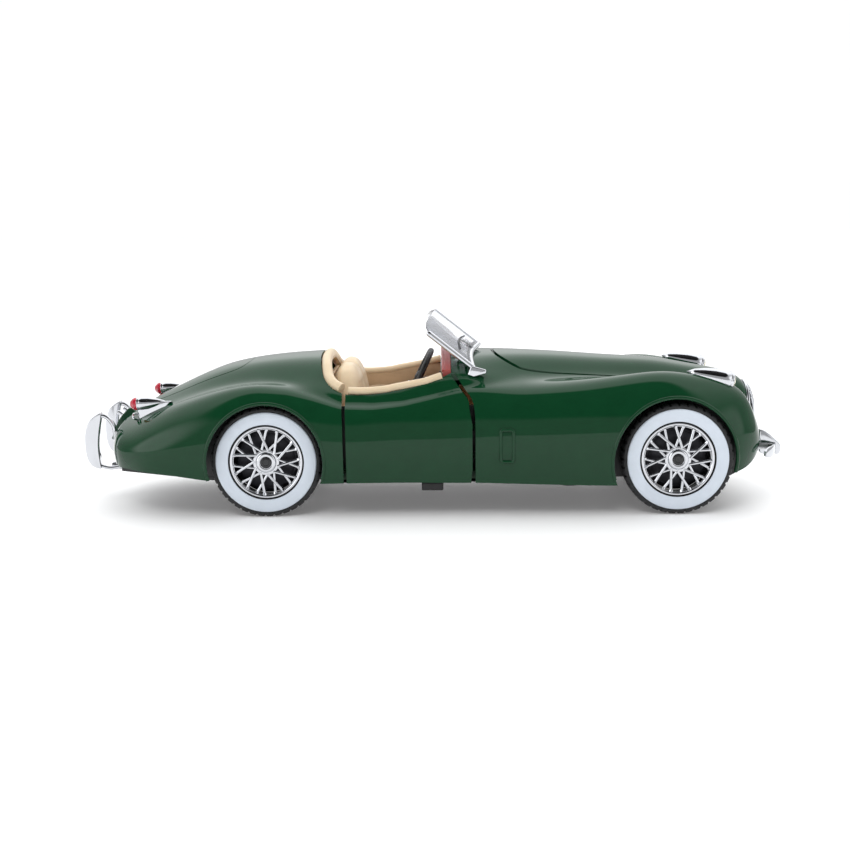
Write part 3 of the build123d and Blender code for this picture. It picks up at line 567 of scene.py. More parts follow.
def polish(ob, limit=0.93):
    # Gives faces that lie on the skin the skin's own true normals.
    g = GRID.copy()
    g[:, :, 0] += CX
    nx, nv = g.shape[:2]
    pts = (g.reshape(-1, 3) * MM)
    nrm = GRID_N.reshape(-1, 3)
    tris = []
    for i in range(nx - 1):
        for j in range(nv - 1):
            a = i * nv + j
            tris.append((a, a + 1, a + nv + 1))
            tris.append((a, a + nv + 1, a + nv))
    tree = BVHTree.FromPolygons([tuple(p) for p in pts], tris)
    me = ob.data
    corner = [tuple(c.vector) for c in me.corner_normals]
    cache = {}
    for poly in me.polygons:
        for li in poly.loop_indices:
            v = me.loops[li].vertex_index
            if v not in cache:
                co, _, index, dist = tree.find_nearest(me.vertices[v].co)
                hit = None
                if dist < 0.00006:
                    t = tris[index]
                    w = bary(co, [pts[k] for k in t])
                    hit = sum(nrm[k] * w[m] for m, k in enumerate(t))
                    hit = hit / np.linalg.norm(hit)
                cache[v] = hit
            hit = cache[v]
            if hit is not None and float(np.dot(hit, poly.normal)) > limit:
                corner[li] = tuple(hit)
    me.normals_split_custom_set(corner)


def bary(p, tri):
    # Barycentric weights of a point in a triangle.
    a, b, c = (np.asarray(q) for q in tri)
    v0, v1, v2 = b - a, c - a, np.asarray(p) - a
    d00, d01, d11 = v0 @ v0, v0 @ v1, v1 @ v1
    d20, d21 = v2 @ v0, v2 @ v1
    den = d00 * d11 - d01 * d01
    if abs(den) < 1e-20:
        return (1.0, 0.0, 0.0)
    v = (d11 * d20 - d01 * d21) / den
    w = (d00 * d21 - d01 * d20) / den
    return (1 - v - w, v, w)


def skin_tree():
    nx, nv = GRID.shape[:2]
    starts = [i * nv + j for i in range(nx - 1) for j in range(nv - 1)]
    faces = [(a, a + 1, a + nv + 1, a + nv) for a in starts]
    return BVHTree.FromPolygons([tuple(p) for p in GRID.reshape(-1, 3)], faces)


TREE = skin_tree()


def on_skin(x, y, lift=0.0):
    # The point of the skin at X and Y, lifted along its normal.
    hit, normal, _, _ = TREE.ray_cast(Vector((x, y, 80)), Vector((0, 0, -1)))
    if hit is None:
        return Vector((x, y, top_z(x, y) + lift))
    if normal.z < 0:
        normal = -normal
    return hit + normal * lift


def side_y(x, z, side):
    # Y of the skin's flank at X and Z, or None beside the skin.
    hit = TREE.ray_cast(Vector((x, side * 60, z)), Vector((0, -side, 0)))[0]
    return None if hit is None else hit.y


def copy_of(ob, name):
    # A second object with its own copy of the mesh.
    out = bpy.data.objects.new(name, ob.data.copy())
    bpy.context.scene.collection.objects.link(out)
    return out


# Outlines shared by the openings and what fills them.
COCKPIT = [(-40.6, 0), (-40.5, 8), (-40.1, 14), (-39.1, 19), (-37.0, 22.3), (-34.0, 23.9), (-30, 24.1)]
COCKPIT += [(-20, 23.9), (-12, 23.6), (-7.5, 22.4), (-5.0, 21.0)]
DOOR_FRONT = [(-8.4, 45), (-6.9, 39.6), (-4.8, 36.2), (-2.5, 33), (-0.9, 31), (-0.1, 28.7),
              (0.2, 25.5), (0.2, 20)]
HOLE_FRONT = [(-7.4, 46), (-6.0, 39.9), (-3.95, 36.7), (-1.7, 33.5), (-0.05, 31.4), (0.75, 28.9),
              (1.0, 25.6), (1.0, 20)]
DOOR_REAR = [(-32.7, 5), (-32.7, 16), (-32.8, 24), (-33.0, 30), (-33.3, 45)]
HOLE_REAR = [(-33.5, 4), (-33.5, 16), (-33.6, 24), (-33.85, 30), (-34.3, 46)]
HOOD = [(7.0, 0), (7.2, 5), (8.6, 9.6), (12.0, 12.8), (17, 14.0), (35, 13.4), (50, 12.0), (62, 9.4),
        (69.4, 6.6), (71.2, 3.2), (71.6, 0)]
HOOD_HOLE = [(6.15, 0), (6.3, 5.2), (7.65, 10.3), (11.4, 13.6), (17, 14.7), (35, 14.1), (50, 12.7),
             (62, 10.1), (70.1, 7.2), (71.9, 3.5), (72.4, 0)]
DOOR_HINGE = (3.0, 28.6)
HOOD_HINGE = (3.6, 37.4)
# Wheel openings as X, height, radius and where the rolled lip ends below.
ARCHES = ((-54.0, 14.9, 15.35, 10.2), (53.2, 14.4, 16.4, 9.6))
# The height of the middle of the oval nose.
NOSE_Z = 22.9
SCREWS = ((26.0, 25.5), (26.0, -25.5), (-66.0, 10.5), (-66.0, -10.5))


def flat(points):
    # A smooth plane curve through points.
    return [(p[0], p[1]) for p in smooth_path([(a, b, 0) for a, b in points], 6)]


def ellipse(cx, cy, rx, ry, count):
    # A closed ring of points round a centre.
    turns = [k / (count / 2) * math.pi for k in range(count)]
    return [(cx + rx * math.cos(t), cy + ry * math.sin(t)) for t in turns]


def both_sides(half):
    # A closed outline from its half on the left, which starts and may end at Y 0.
    curve = flat(half)
    return curve + [(x, -y) for x, y in reversed(curve) if abs(y) > 1e-6]


def door_outline(rear, front):
    # The closed side view of a door or its hole.
    return flat(rear) + flat(front) + [(front[-1][0], rear[0][1])]


def build_body():
    skin = closed_skin("paint_body", SHELL_WALL)
    for cx, cz, r, _ in ARCHES:
        for s in (-1, 1):
            cut(skin, prism("arch", ellipse(cx, cz, r, r, 192), "y", s * 18.5, s * 42, None))
    cut(skin, prism("cockpit", both_sides(COCKPIT), "z", 12, 60, None))
    cut(skin, prism("nose", ellipse(0, NOSE_Z, 6.95, 8.75, 96), "x", 66, 82, None))
    boot_groove(skin)
    door_hole = prism("door_hole", door_outline(HOLE_REAR, HOLE_FRONT), "y", 21.3, 42, None)
    door_fill = prism("door_fill", door_outline(DOOR_REAR, DOOR_FRONT), "y", 21.3, 42, None)
    door = copy_of(skin, "door_skin_left")
    cut(door, door_fill, "INTERSECT")
    # Room for the hinge sleeves, round each pin.
    cut(door, prism("arc", ellipse(*DOOR_HINGE, 3.6, 3.6, 48), "z", 2, 50, None))
    hood = copy_of(skin, "hood_skin")
    cut(hood, prism("hood_fill", both_sides(HOOD), "z", 24, 60, None), "INTERSECT")
    cut(hood, prism("arc", ellipse(*HOOD_HINGE, 4.7, 4.7, 48), "y", -20, 20, None))
    cut(skin, mirrored(door_hole, "door_hole_r"))
    cut(skin, door_hole)
    cut(skin, prism("hood_hole", both_sides(HOOD_HOLE), "z", 24, 60, None))
    return skin, door, hood


def boot_groove(skin):
    # The engraved outline of the boot lid.
    plan = [(-60, 0), (-60.4, 6), (-62.5, 10.2), (-68, 11.6), (-78, 11.2), (-86, 9.6),
            (-90.5, 6.2), (-91.6, 0)]
    ring = both_sides(plan)
    path = [tuple(on_skin(x, y, 0.02)) for x, y in ring]
    cut(skin, tube("groove", path, 0.17, None, 8, closed=True))


def hinge_arms(mat):
    # The curled arms and the sleeve of a door.
    plan = [(-0.2, -0.85), (-2.3, -3.0), (-5.9, -2.1), (-6.3, 1.5), (-5.2, 1.5), (-4.9, -1.2),
            (-2.6, -1.9), (-0.8, -0.3)]
    out = []
    for z0, z1 in ((15.0, 16.6), (22.6, 24.2)):
        shape = [(DOOR_HINGE[0] + a, DOOR_HINGE[1] + b) for a, b in plan]
        out.append(bevel(prism("arm", shape, "z", z0, z1, mat), 0.2))
    ring = [(-5.0, 0.9), (5.0, 0.9), (5.0, 0.55), (-5.0, 0.55), (-5.0, 0.9)]
    out.append(lathe("sleeve", ring, (DOOR_HINGE[0], DOOR_HINGE[1], 19.6), UP, mat, 24))
    return out


skin, door, hood = build_body()
for piece in (skin, door, hood):
    piece.data.materials.clear()
    piece.data.materials.append(PAINT)
    shade(piece, 38)
    polish(piece)


def lugs(mat):
    # Inner rails, hinge lugs and screw posts of the casting.
    out = []
    for s in (-1, 1):
        out.append(block("rail", -37.6, 5.2, s * 24.2, s * 27.6, 9.8, 12.0, mat, 0.2))
        for x0, x1 in ((-37.6, -34.3), (1.8, 5.2)):
            out.append(block("end", x0, x1, s * 27, s * 29.7, 9.85, 11.95, mat))
        for z0, z1 in ((12.6, 14.4), (24.8, 26.4)):
            out.append(block("lug", 2.0, 4.4, s * 27.4, s * 29.9, z0, z1, mat, 0.15))
        out.append(block("lug", 2.4, 4.8, s * 8.2, s * 9.9, 36.4, 39.2, mat, 0.15))
    for x, y in SCREWS:
        top = top_z(x, abs(y) + 2.0) - 1.6
        out.append(lathe("post", [(0, 0.8), (0, 2.0), (top - 9.2, 2.0), (top - 9.2, 0)],
                         (x, y, 9.2), UP, mat, 24))
    return out


def vent_bead(side):
    # The raised outline of a small flap low on the front fender.
    x0, x1, z0, z1, r = 7.55, 10.85, 14.85, 23.25, 0.7
    ring = []
    for cx, cz, start in ((x1 - r, z1 - r, 0), (x0 + r, z1 - r, 90), (x0 + r, z0 + r, 180),
                          (x1 - r, z0 + r, 270)):
        for k in range(7):
            t = math.radians(start + 15 * k)
            ring.append((cx + r * math.cos(t), cz + r * math.sin(t)))
    path = []
    for x, z in ring:
        path.append((x, side_y(x, z, side) + side * 0.12, z))
    return tube("vent", path, 0.45, PAINT, 14, closed=True)


def arch_lip(side, cx, cz, r, low):
    # The rolled lip round a wheel opening.
    path = []
    for k in range(61):
        t = math.radians(-28 + 236 * k / 60)
        x, z = cx + (r + 0.25) * math.cos(t), cz + (r + 0.25) * math.sin(t)
        y = side_y(x, z, side)
        if z >= low and y is not None:
            path.append((x, y - side * 0.25, z))
    return tube("lip", path, 0.5, PAINT, 14)


trims = [vent_bead(1), vent_bead(-1)]
for s in (-1, 1):
    trims += [arch_lip(s, *arch) for arch in ARCHES]
body = join("paint_casting", [skin] + trims + lugs(PAINT_IN))
finish_piece(body, "car", ["body_shell"])
door_left = join("paint_door_left", [copy_of(door, "d"), *hinge_arms(PAINT_IN)])
door_right = mirrored(door_left, "paint_door_right")
drop(door)
finish_piece(door_left, "door_left", ["door_left"])
finish_piece(door_right, "door_right", ["door_right"])


def hood_arms():
    plan = [(-0.5, -0.75), (1.6, -3.2), (6.0, -2.2), (7.3, 2.2), (6.2, 2.2), (5.1, -1.2),
            (2.2, -2.1), (0.7, -0.5)]
    shape = [(HOOD_HINGE[0] + a, HOOD_HINGE[1] + b) for a, b in plan]
    out = []
    for s in (-1, 1):
        out.append(bevel(prism("lever", shape, "y", s * 4.6, s * 6.2, PAINT_IN), 0.2))
        ring = [(-1.8, 0.9), (1.8, 0.9), (1.8, 0.55), (-1.8, 0.55), (-1.8, 0.9)]
        out.append(lathe("sleeve", ring, (HOOD_HINGE[0], s * 6.05, HOOD_HINGE[1]), ACROSS, PAINT_IN, 24))
    return out


hood_piece = join("paint_hood", [hood, *hood_arms()])
finish_piece(hood_piece, "hood", ["hood"])


# ---------------------------------------------------------------- wheels

def tyre():
    # A tyre with moulded tread blocks, turned about +Y, inner face at 0.
    profile = [(0.0, 10.1), (0.0, 11.5), (0.02, 13.0), (0.25, 13.8), (0.7, 14.35),
               (1.2, 14.62), (1.3, 14.66)]
    profile += [(d, 14.7) for d in (2.6, 2.75, 3.2, 3.35)]
    edge = [(-1.3, 14.66), (-1.1, 14.6), (-0.65, 14.4), (-0.4, 14.15), (-0.3, 13.75),
            (-0.35, 13.4), (-0.42, 13.3)]
    profile += [(TYRE_W + d, r) for d, r in [*edge, (-0.42, 10.1)]]
    # How deep the gaps between blocks are at each point of the profile.
    groove = {3: 0.12, 4: 0.28, 5: 0.32, 6: 0.32, 7: 0.32, 8: 0.5, 9: 0.5, 10: 0.32, 11: 0.32, 12: 0.34,
              13: 0.32, 14: 0.14}
    blocks, per = 40, 8
    n = blocks * per
    verts, faces = [], []
    for k in range(n):
        t = 2 * math.pi * k / n
        for i, (d, r) in enumerate(profile):
            centre = i in (8, 9)
            gap = (k + 4 * centre) % per in (0, 1)
            r -= groove.get(i, 0) if gap else 0.34 * centre
            verts.append((r * math.cos(t), d, r * math.sin(t)))
    m = len(profile)
    for k in range(n):
        q = (k + 1) % n
        for i in range(m - 1):
            faces.append((k * m + i, k * m + i + 1, q * m + i + 1, q * m + i))
        faces.append((k * m + m - 1, k * m, q * m, q * m + m - 1))
    return obj_from("tyre", verts, faces, RUBBER, 32)


def wire_rim():
    # Chrome rim, spokes and hub, turned about +Y.
    parts = []
    rim = [(0.3, 9.3), (0.3, 10.06), (5.0, 10.06), (5.1, 9.66), (5.9, 9.62), (6.08, 9.52), (6.14, 9.3),
           (6.08, 9.05), (5.9, 8.88), (5.75, 8.8), (5.7, 8.66), (5.5, 8.56), (5.3, 8.6), (5.0, 8.75),
           (4.6, 9.1), (4.2, 9.3), (0.3, 9.3)]
    parts.append(lathe("rim", rim, (-CX, 0, 0), ACROSS, CHROME, 96, 40))
    hub = [(2.2, 1.2), (2.2, 3.0), (5.2, 3.1), (5.5, 3.5), (5.85, 3.55), (6.1, 3.4), (6.2, 3.1),
           (6.2, 2.75), (6.5, 2.6), (6.72, 2.35), (6.78, 2.0), (6.7, 1.72), (6.4, 1.66),
           (6.4, 1.2), (2.2, 1.2)]
    well = [(5.0, 9.6), (5.0, 10.12), (5.55, 10.12), (5.6, 9.9), (5.5, 9.64), (5.0, 9.6)]
    parts.append(lathe("well", well, (-CX, 0, 0), ACROSS, RUBBER, 96, 40))
    parts.append(lathe("hub", hub, (-CX, 0, 0), ACROSS, CHROME, 64, 40))
    for k in range(22):
        pair = 360 / 11 * (k // 2)
        lean = 1 if k % 2 else -1
        a, b = math.radians(pair + lean * 7.0), math.radians(pair - lean * 17.5)
        p = (8.75 * math.cos(a) - CX, 5.45 + 0.1 * lean, 8.75 * math.sin(a))
        q = (3.1 * math.cos(b) - CX, 5.9 + 0.1 * lean, 3.1 * math.sin(b))
        parts.append(tube("spoke", [p, q], [0.44, 0.38], CHROME, 12))
        e = (8.95 * math.cos(a) - CX, 5.6 + 0.13 * lean, 8.95 * math.sin(a))
        f = (8.35 * math.cos(a) - CX, 5.42 + 0.13 * lean, 8.35 * math.sin(a))
        parts.append(tube("nipple", [e, f], 0.52, CHROME, 10))
    return join("wire", parts)


def whitewall():
    w = TYRE_W
    band = [(w - 0.42, 10.0), (w - 0.1, 10.02), (w, 10.2), (w + 0.1, 11.5), (w + 0.05, 12.9),
            (w - 0.06, 13.2), (w - 0.3, 13.3), (w - 0.42, 13.3)]
    return lathe("band", band + [band[0]], (-CX, 0, 0), ACROSS, BAND, 128, 50)


def drum():
    shape = [(0.4, 1.25), (0.4, 8.5), (0.6, 8.7), (1.6, 8.7), (1.7, 8.5), (1.9, 8.5), (2.0, 8.7),
             (2.5, 8.6), (2.8, 8.2), (2.85, 7.4), (2.6, 7.0), (2.6, 4.4), (2.85, 4.0), (2.9, 3.1),
             (2.2, 3.05), (2.2, 1.25), (0.4, 1.25)]
    return lathe("drum", shape, (-CX, 0, 0), ACROSS, DRUM, 72, 35)


masters = {"tyre": (tyre(), "tyre_black"), "whitewall": (whitewall(), "band_white")}
masters["wire_wheel"] = (wire_rim(), "chrome")
masters["brake_drum"] = (drum(), "drum_metal")
# How far each pair is turned in the photograph, in degrees.
TURNED = {"front": 10.0, "rear": 3.0}
for end, side in CORNERS:
    s = 1 if side == "left" else -1
    for kind, (master, slot_name) in masters.items():
        me = master.data.copy()
        me.transform(Matrix.Rotation(math.radians(TURNED[end]), 4, (0, 1, 0)))
        if s < 0:
            me.transform(Matrix.Scale(-1, 4, (0, 1, 0)))
            me.flip_normals()
        place = Vector(((AXLE_X[end] + CX) * MM, s * (FACE_Y[end] - TYRE_W) * MM, AXLE_Z * MM))
        me.transform(Matrix.Translation(place))
        ob = bpy.data.objects.new(f"{kind}_piece_{end}_{side}", me)
        bpy.context.scene.collection.objects.link(ob)
        finish_piece(ob, f"{end}_wheels", [f"{kind}_{end}_{side}"])
for master, _ in masters.values():
    drop(master)
for end in ("front", "rear"):
    w = FACE_Y[end] - 0.1
    middle = (AXLE_X[end], 0, AXLE_Z)
    bar = [(-w + 0.3, 0), (-w + 0.3, 0.9), (-w + 0.6, 1.2), (w - 0.6, 1.2), (w - 0.3, 0.9), (w - 0.3, 0)]
    pieces = [lathe("axle", bar, middle, ACROSS, STEEL, 32)]
    rim = [(-0.5, 0), (-0.5, 1.62), (-0.1, 1.58), (0.04, 1.4), (0.08, 0.9), (-0.02, 0.8), (-0.02, 0)]
    for s in (-1, 1):
        cap = [(w + d, r) for d, r in rim]
        pieces.append(lathe("cap", cap, middle, (0, s, 0), GLOSS_BLACK, 32))
    finish_piece(join(f"axle_{end}_piece", pieces), f"{end}_wheels", [f"{end}_axle"])


# ---------------------------------------------------------------- cockpit

def soft_loft(name, rings, mat, smooth=50):
    # Skins closed rings of points, with both ends capped.
    n = len(rings[0])
    verts = [(p[0] + CX, p[1], p[2]) for ring in rings for p in ring]
    faces = []
    for i in range(len(rings) - 1):
        for k in range(n):
            q = (k + 1) % n
            faces.append((i * n + k, i * n + q, (i + 1) * n + q, (i + 1) * n + k))
    faces.append(list(range(n))[::-1])
    faces.append([(len(rings) - 1) * n + k for k in range(n)])
    return obj_from(name, verts, faces, mat, smooth)


def rounded_ring(x0, x1, y0, y1, z, power=4.0, n=96, ridge=None, inner_power=None):
    # A superellipse ring in plan, squarer towards y0 if inner_power says so.
    # ridge(y, facing) adds to X on the front.
    out = []
    for k in range(n):
        t = 2 * math.pi * k / n
        c, s = math.cos(t), math.sin(t)
        bend = 2 / (inner_power if inner_power and s < 0 else power)
        x = math.copysign(abs(c) ** bend, c)
        y = math.copysign(abs(s) ** bend, s)
        px = (x0 + x1) / 2 + x * (x1 - x0) / 2
        py = (y0 + y1) / 2 + y * (y1 - y0) / 2
        if ridge:
            px += ridge(py, max(0.0, x))
        out.append((px, py, z))
    return out


def pleats(low, high, count, depth):
    # Vertical sewn-look flutes between two Y values.
    def at_y(y, facing):
        if facing < 0.6 or y < low or y > high:
            return 0.0
        phase = (y - low) / (high - low) * count
        return depth * (abs(math.sin(math.pi * phase)) ** 0.6 - 1.0) * min(1.0, (facing - 0.6) / 0.3)
    return at_y


def dense(table):
    # A smooth curve through a table of height and distance.
    return [(p.x, p.y) for p in smooth_path([(a, b, 0) for a, b in table], 10)]


def value(curve, z):
    # The distance that a curve gives at a height.
    return float(np.interp(z, [p[0] for p in curve], [p[1] for p in curve]))


def seat():
    back_rear = dense([(10.5, -37.0), (20, -37.2), (29.5, -37.2), (33.9, -37.0), (36.1, -36.4),
                       (37.6, -35.3), (38.35, -34.3), (38.55, -33.7)])
    back_front = dense([(10.5, -28.0), (20, -28.0), (27, -28.2), (31.5, -28.8), (34.6, -29.6),
                        (36.8, -30.6), (38.0, -31.6), (38.4, -32.6), (38.55, -33.3)])
    inner = dense([(14.3, 0.3), (20, 0.3), (30, 0.3), (34.5, 0.4), (36.6, 0.9), (37.6, 1.9), (38.2, 3.6),
                   (38.45, 5.4), (38.55, 7.2)])
    outer = dense([(10.2, 17.4), (20, 17.4), (27, 17.3), (31, 16.9), (34.2, 15.8), (36.6, 14.0),
                   (37.8, 12.0), (38.4, 10.2), (38.55, 8.6)])
    rings = []
    crown = 33.5 + 5.04 * np.sin(np.linspace(0.06, 1.0, 34) * math.pi / 2)
    for z in [*np.linspace(14.4, 33.5, 18), *crown]:
        y0, y1 = value(inner, z), value(outer, z)
        fluted = pleats(3.2, 15.0, 7, 0.32) if z < 34.0 else None
        x0, x1 = value(back_rear, z), value(back_front, z)
        rings.append(rounded_ring(x0, x1, y0, y1, z, 2.5, 144, fluted, 9.0))
    back = soft_loft("back", rings, TAN)
    pad = []
    for x in np.linspace(-28.2, -14.3, 30):
        near = min(1.0, (x + 28.4) / 1.2, (-14.2 - x) / 1.4)
        round_off = math.sqrt(max(0.0, 1 - (1 - near) ** 2))
        top = 14.6 + 3.2 * round_off
        ring = []
        for y, z in [(2.7, 10.3), (2.65, 14.5), (3.2, 16.6)]:
            ring.append((x, y, min(z, top)))
        for y in np.linspace(4.2, 15.8, 37):
            dip = pleats(5.0, 15.0, 6, 0.3)(y, 1.0) if near > 0.95 else 0
            ring.append((x, y, top + dip))
        for y, z in [(16.8, 16.6), (17.35, 14.5), (17.3, 10.3)]:
            ring.append((x, y, min(z, top)))
        pad.append(ring)
    cushion = soft_loft("cushion", pad, TAN)
    return join("seat_piece_left", [back, cushion])


finish_pair(seat(), "seat_piece_right", "seat", "trim_tan")


def tub():
    parts = []
    shell = block("tub", -38.4, 8.0, -20.8, 20.8, 9.2, 28.5, TAN_DEEP)
    cut(shell, block("in", -37.4, 7.0, -19.8, 19.8, 10.2, 40, None))
    parts.append(bevel(shell, 0.2))
    # Thin black sheets on the outer sides of the tub: painted shade, so the door gaps read dark instead of
    # showing the tan tub wall.
    for s in (-1, 1):
        parts.append(block("gap_shade_sheet", -38.5, 8.1, s * 20.8, s * 20.95, 9.1, 28.4, BLACK))
    parts.append(block("wall", -38.4, -37.4, -15, 15, 28.3, 35.4, TAN_DEEP, 0.25))
    ring = [rounded_ring(-30, 6.9, -1.6, 1.6, z, 8, 64) for z in (10.1, 12.6)]
    for d, z in ((0.1, 13.0), (0.35, 13.35), (0.8, 13.5)):
        ring.append(rounded_ring(-30 + d, 6.9 - d, -1.6 + d, 1.6 - d, z, 8, 64))
    parts.append(soft_loft("tunnel", ring, TAN_DEEP))
    for s in (-1, 1):
        parts.append(block("mat", -27.0, 4.8, s * 3.4, s * 18.4, 10.15, 10.5, CARPET, 0.15))
        for k in range(9):
            x = -12.5 + 1.7 * k
            parts.append(tube("rib", [(x, s * 5.0, 10.5), (x, s * 16.8, 10.5)], 0.17, CARPET, 8))
        for y in (6.4, 9.2, 12.0):
            parts.append(block("pedal", 4.2, 5.2, s * y - 0.9, s * y + 0.9, 13.0, 16.2, BLACK, 0.2))
            parts.append(rod("stalk", (5.0, s * y, 14.5), (6.9, s * y, 18.5), 0.25, BLACK, 10))
            if s < 0:
                break
        for z in (15.5, 19.5, 23.5):
            parts.append(tube("panel", [(-36, s * 19.7, z), (5.5, s * 19.7, z)], 0.2, TAN_DEEP, 8))
    gaiter = [(0, 1.5), (0.4, 1.45), (0.6, 1.15), (0.8, 1.2), (1.05, 0.95), (1.25, 0.95), (1.5, 0.7),
              (1.8, 0.5), (1.8, 0)]
    parts.append(lathe("gaiter", gaiter, (-12.0, 0, 13.3), UP, BLACK, 28))
    brake = [(-20, 1.9, 13.6), (-18.5, 1.9, 14.1), (-13.5, 2.0, 17.0)]
    parts.append(tube("brake", smooth_path(brake, 6), 0.32, STEEL, 12))
    return join("tub_piece", parts)


finish_piece(tub(), "car", ["interior_tub"])


# Half of the roll's centre line behind the seats, with its height above the skin.
REAR_ROLL = [(-39.05, 0, -1.0), (-38.95, 8, -0.9), (-38.55, 13.8, -0.6), (-37.65, 18.4, -0.1)]
REAR_ROLL += [(-35.95, 21.2, 0.3), (-34.1, 22.4, 0.45)]


def cockpit_roll():
    # The padded-look roll behind the seats, with a bead inside it.
    half = [(x, y, top_z(x - 1.2, y + 0.9) + lift) for x, y, lift in REAR_ROLL]
    whole = [(x, -y, z) for x, y, z in reversed(half[1:])] + half
    line = smooth_path(whole, 10)
    roll = tube("roll", line, 1.42, TAN, 32)
    seam = [(p.x + 1.0, p.y * 0.962, p.z - 0.95) for p in line[2:-2]]
    bead = tube("bead", seam, 0.2, TAN, 8)
    return join("cockpit_roll", [roll, bead])


finish_piece(cockpit_roll(), "car", ["cockpit_trim"])


def door_card():
    pts = []
    for k in range(13):
        x = -32.3 + 24.6 * k / 12
        edge = 23.9 if x < -12 else 23.9 - 1.5 * (x + 12) / 4.6 * 0.6
        pts.append((x, edge - 1.12, top_z(x, edge) + 0.75))
    roll = tube("roll", smooth_path(pts, 5), 1.06, TAN, 28)
    outline = [(-31.8, 13.0), (-31.8, pts[0][2] - 0.2)]
    outline += [(p[0], p[2] - 0.2) for p in pts[1:12]]
    outline += [(-7.4, 34.5), (-6.6, 30.0), (-6.6, 13.0)]
    card = bevel(prism("card", outline, "y", 21.9, 23.0, TAN_DEEP), 0.2)
    parts = [roll, card]
    for x in (-29.0, -16.0):
        parts.append(block("clip", x, x + 3, 22.8, 29.4, 17.6, 21.4, TAN_DEEP, 0.2))
    flange = [(22.9, 13.0), (30.4, 13.0), (30.8, 20.0), (29.4, 25.0), (27.5, 28.0),
              (25.2, 29.4), (22.9, 30.2)]
    parts.append(prism("flange", flange, "x", -32.5, -31.8, PAINT_IN))
    parts.append(block("ledge", -32.5, -9.0, 22.9, 30.3, 13.0, 13.6, PAINT_IN))
    for k in range(10):
        x = -28.4 + 1.75 * k
        parts.append(tube("flute", [(x, 21.92, 15.5), (x, 21.92, 27.0)], 0.28, TAN, 10))
    pocket = [(-29.4, 14.6), (-20.5, 14.4), (-11.6, 14.6), (-11.4, 21), (-11.6, 27.8),
              (-20.5, 28.2), (-29.4, 27.8)]
    pocket = smooth_path([(x, 21.88, z) for x, z in [*pocket, (-29.6, 21)]], 5, True)
    parts.append(tube("piping", pocket, 0.17, TAN, 8, closed=True))
    pull = smooth_path([(-17.5, 21.9, 29.6), (-17, 21.3, 29.7), (-14, 21.2, 29.7), (-13.4, 21.9, 29.6)], 6)
    parts.append(tube("pull", pull, 0.26, CHROME, 10))
    return join("door_card_left", parts)


card_left = door_card()
card_right = mirrored(card_left, "door_card_right")
finish_piece(card_left, "door_left", ["door_trim_left"])
finish_piece(card_right, "door_right", ["door_trim_right"])


def dashboard():
    # A padded-look fascia that follows the scuttle's crown.
    ys = np.linspace(-20.4, 20.4, 61)
    rings = []
    for y in ys:
        top = top_z(-6.2, y) + 0.3
        side = [(-7.3, 28.8), (-7.35, top - 0.9), (-7.2, top - 0.3), (-6.8, top), (-6.1, top + 0.05),
                (-5.2, top - 0.05), (-5.15, top - 0.6), (-5.15, 28.8)]
        rings.append([(x, y, z) for x, z in side])
    parts = [soft_loft("fascia", rings, RED_BROWN, 45)]
    lip = [(-7.15, y, top_z(-6.2, y) + 0.02) for y in ys]
    parts.append(tube("lip", lip, 0.45, RED_BROWN, 14))
    glove = [(-7.36, -19.0, 33), (-7.36, -11.6, 33), (-7.36, -11.6, 37.4), (-7.36, -18.2, 36.6)]
    parts.append(tube("glove", glove, 0.12, BLACK, 8, closed=True))
    return join("dashboard_piece", parts)


finish_piece(dashboard(), "car", ["dashboard"])


def instruments():
    face = -7.5
    back = (-1, 0, 0)
    parts = [block("plate", face, -7.33, -9.4, 9.4, 33.5, 38.8, STEEL, 0.05)]
    dials = [(-6.4, 36.2, 2.0), (6.4, 36.2, 2.0), (-2.4, 37.2, 0.95), (2.4, 37.2, 0.95), (0, 34.9, 0.8)]
    for y, z, r in dials:
        at = (face, y, z)
        ring = [(0, 0), (0, r), (0.16, r), (0.24, r - 0.08), (0.24, r - 0.2), (0.1, r - 0.25), (0.1, 0)]
        parts.append(lathe("bezel", ring, at, back, CHROME, 40))
        disc = [(0.09, 0), (0.09, r - 0.24), (0.13, r - 0.24), (0.13, 0)]
        parts.append(lathe("face", disc, at, back, DIAL, 40))
        for k in range(11):
            t = math.radians(-220 + 26 * k)
            p = (face - 0.14, y + (r - 0.5) * math.cos(t), z - (r - 0.5) * math.sin(t))
            q = (face - 0.14, y + (r - 0.3) * math.cos(t), z - (r - 0.3) * math.sin(t))
            parts.append(rod("tick", p, q, 0.035, BLACK, 6))
        reach = 0.6 * r * 0.7
        parts.append(rod("needle", (face - 0.17, y, z),
                         (face - 0.17, y + reach, z + reach), 0.05, BLACK, 6))
        parts.append(lathe("boss", [(0.1, 0), (0.1, 0.14), (0.2, 0.1), (0.2, 0)], at, back, BLACK, 12))
    for y in (-3.6, -1.8, 1.8, 3.6):
        knob = [(0, 0), (0, 0.22), (0.35, 0.22), (0.4, 0.4), (0.65, 0.4), (0.72, 0.3), (0.72, 0)]
        parts.append(lathe("knob", knob, (face, y, 34.3), back, BLACK, 16))
    return join("instrument_panel", parts)


finish_piece(instruments(), "car", ["instruments"])
TILT = math.radians(26)
STEER = (-14.1, 10.0, 32.4)


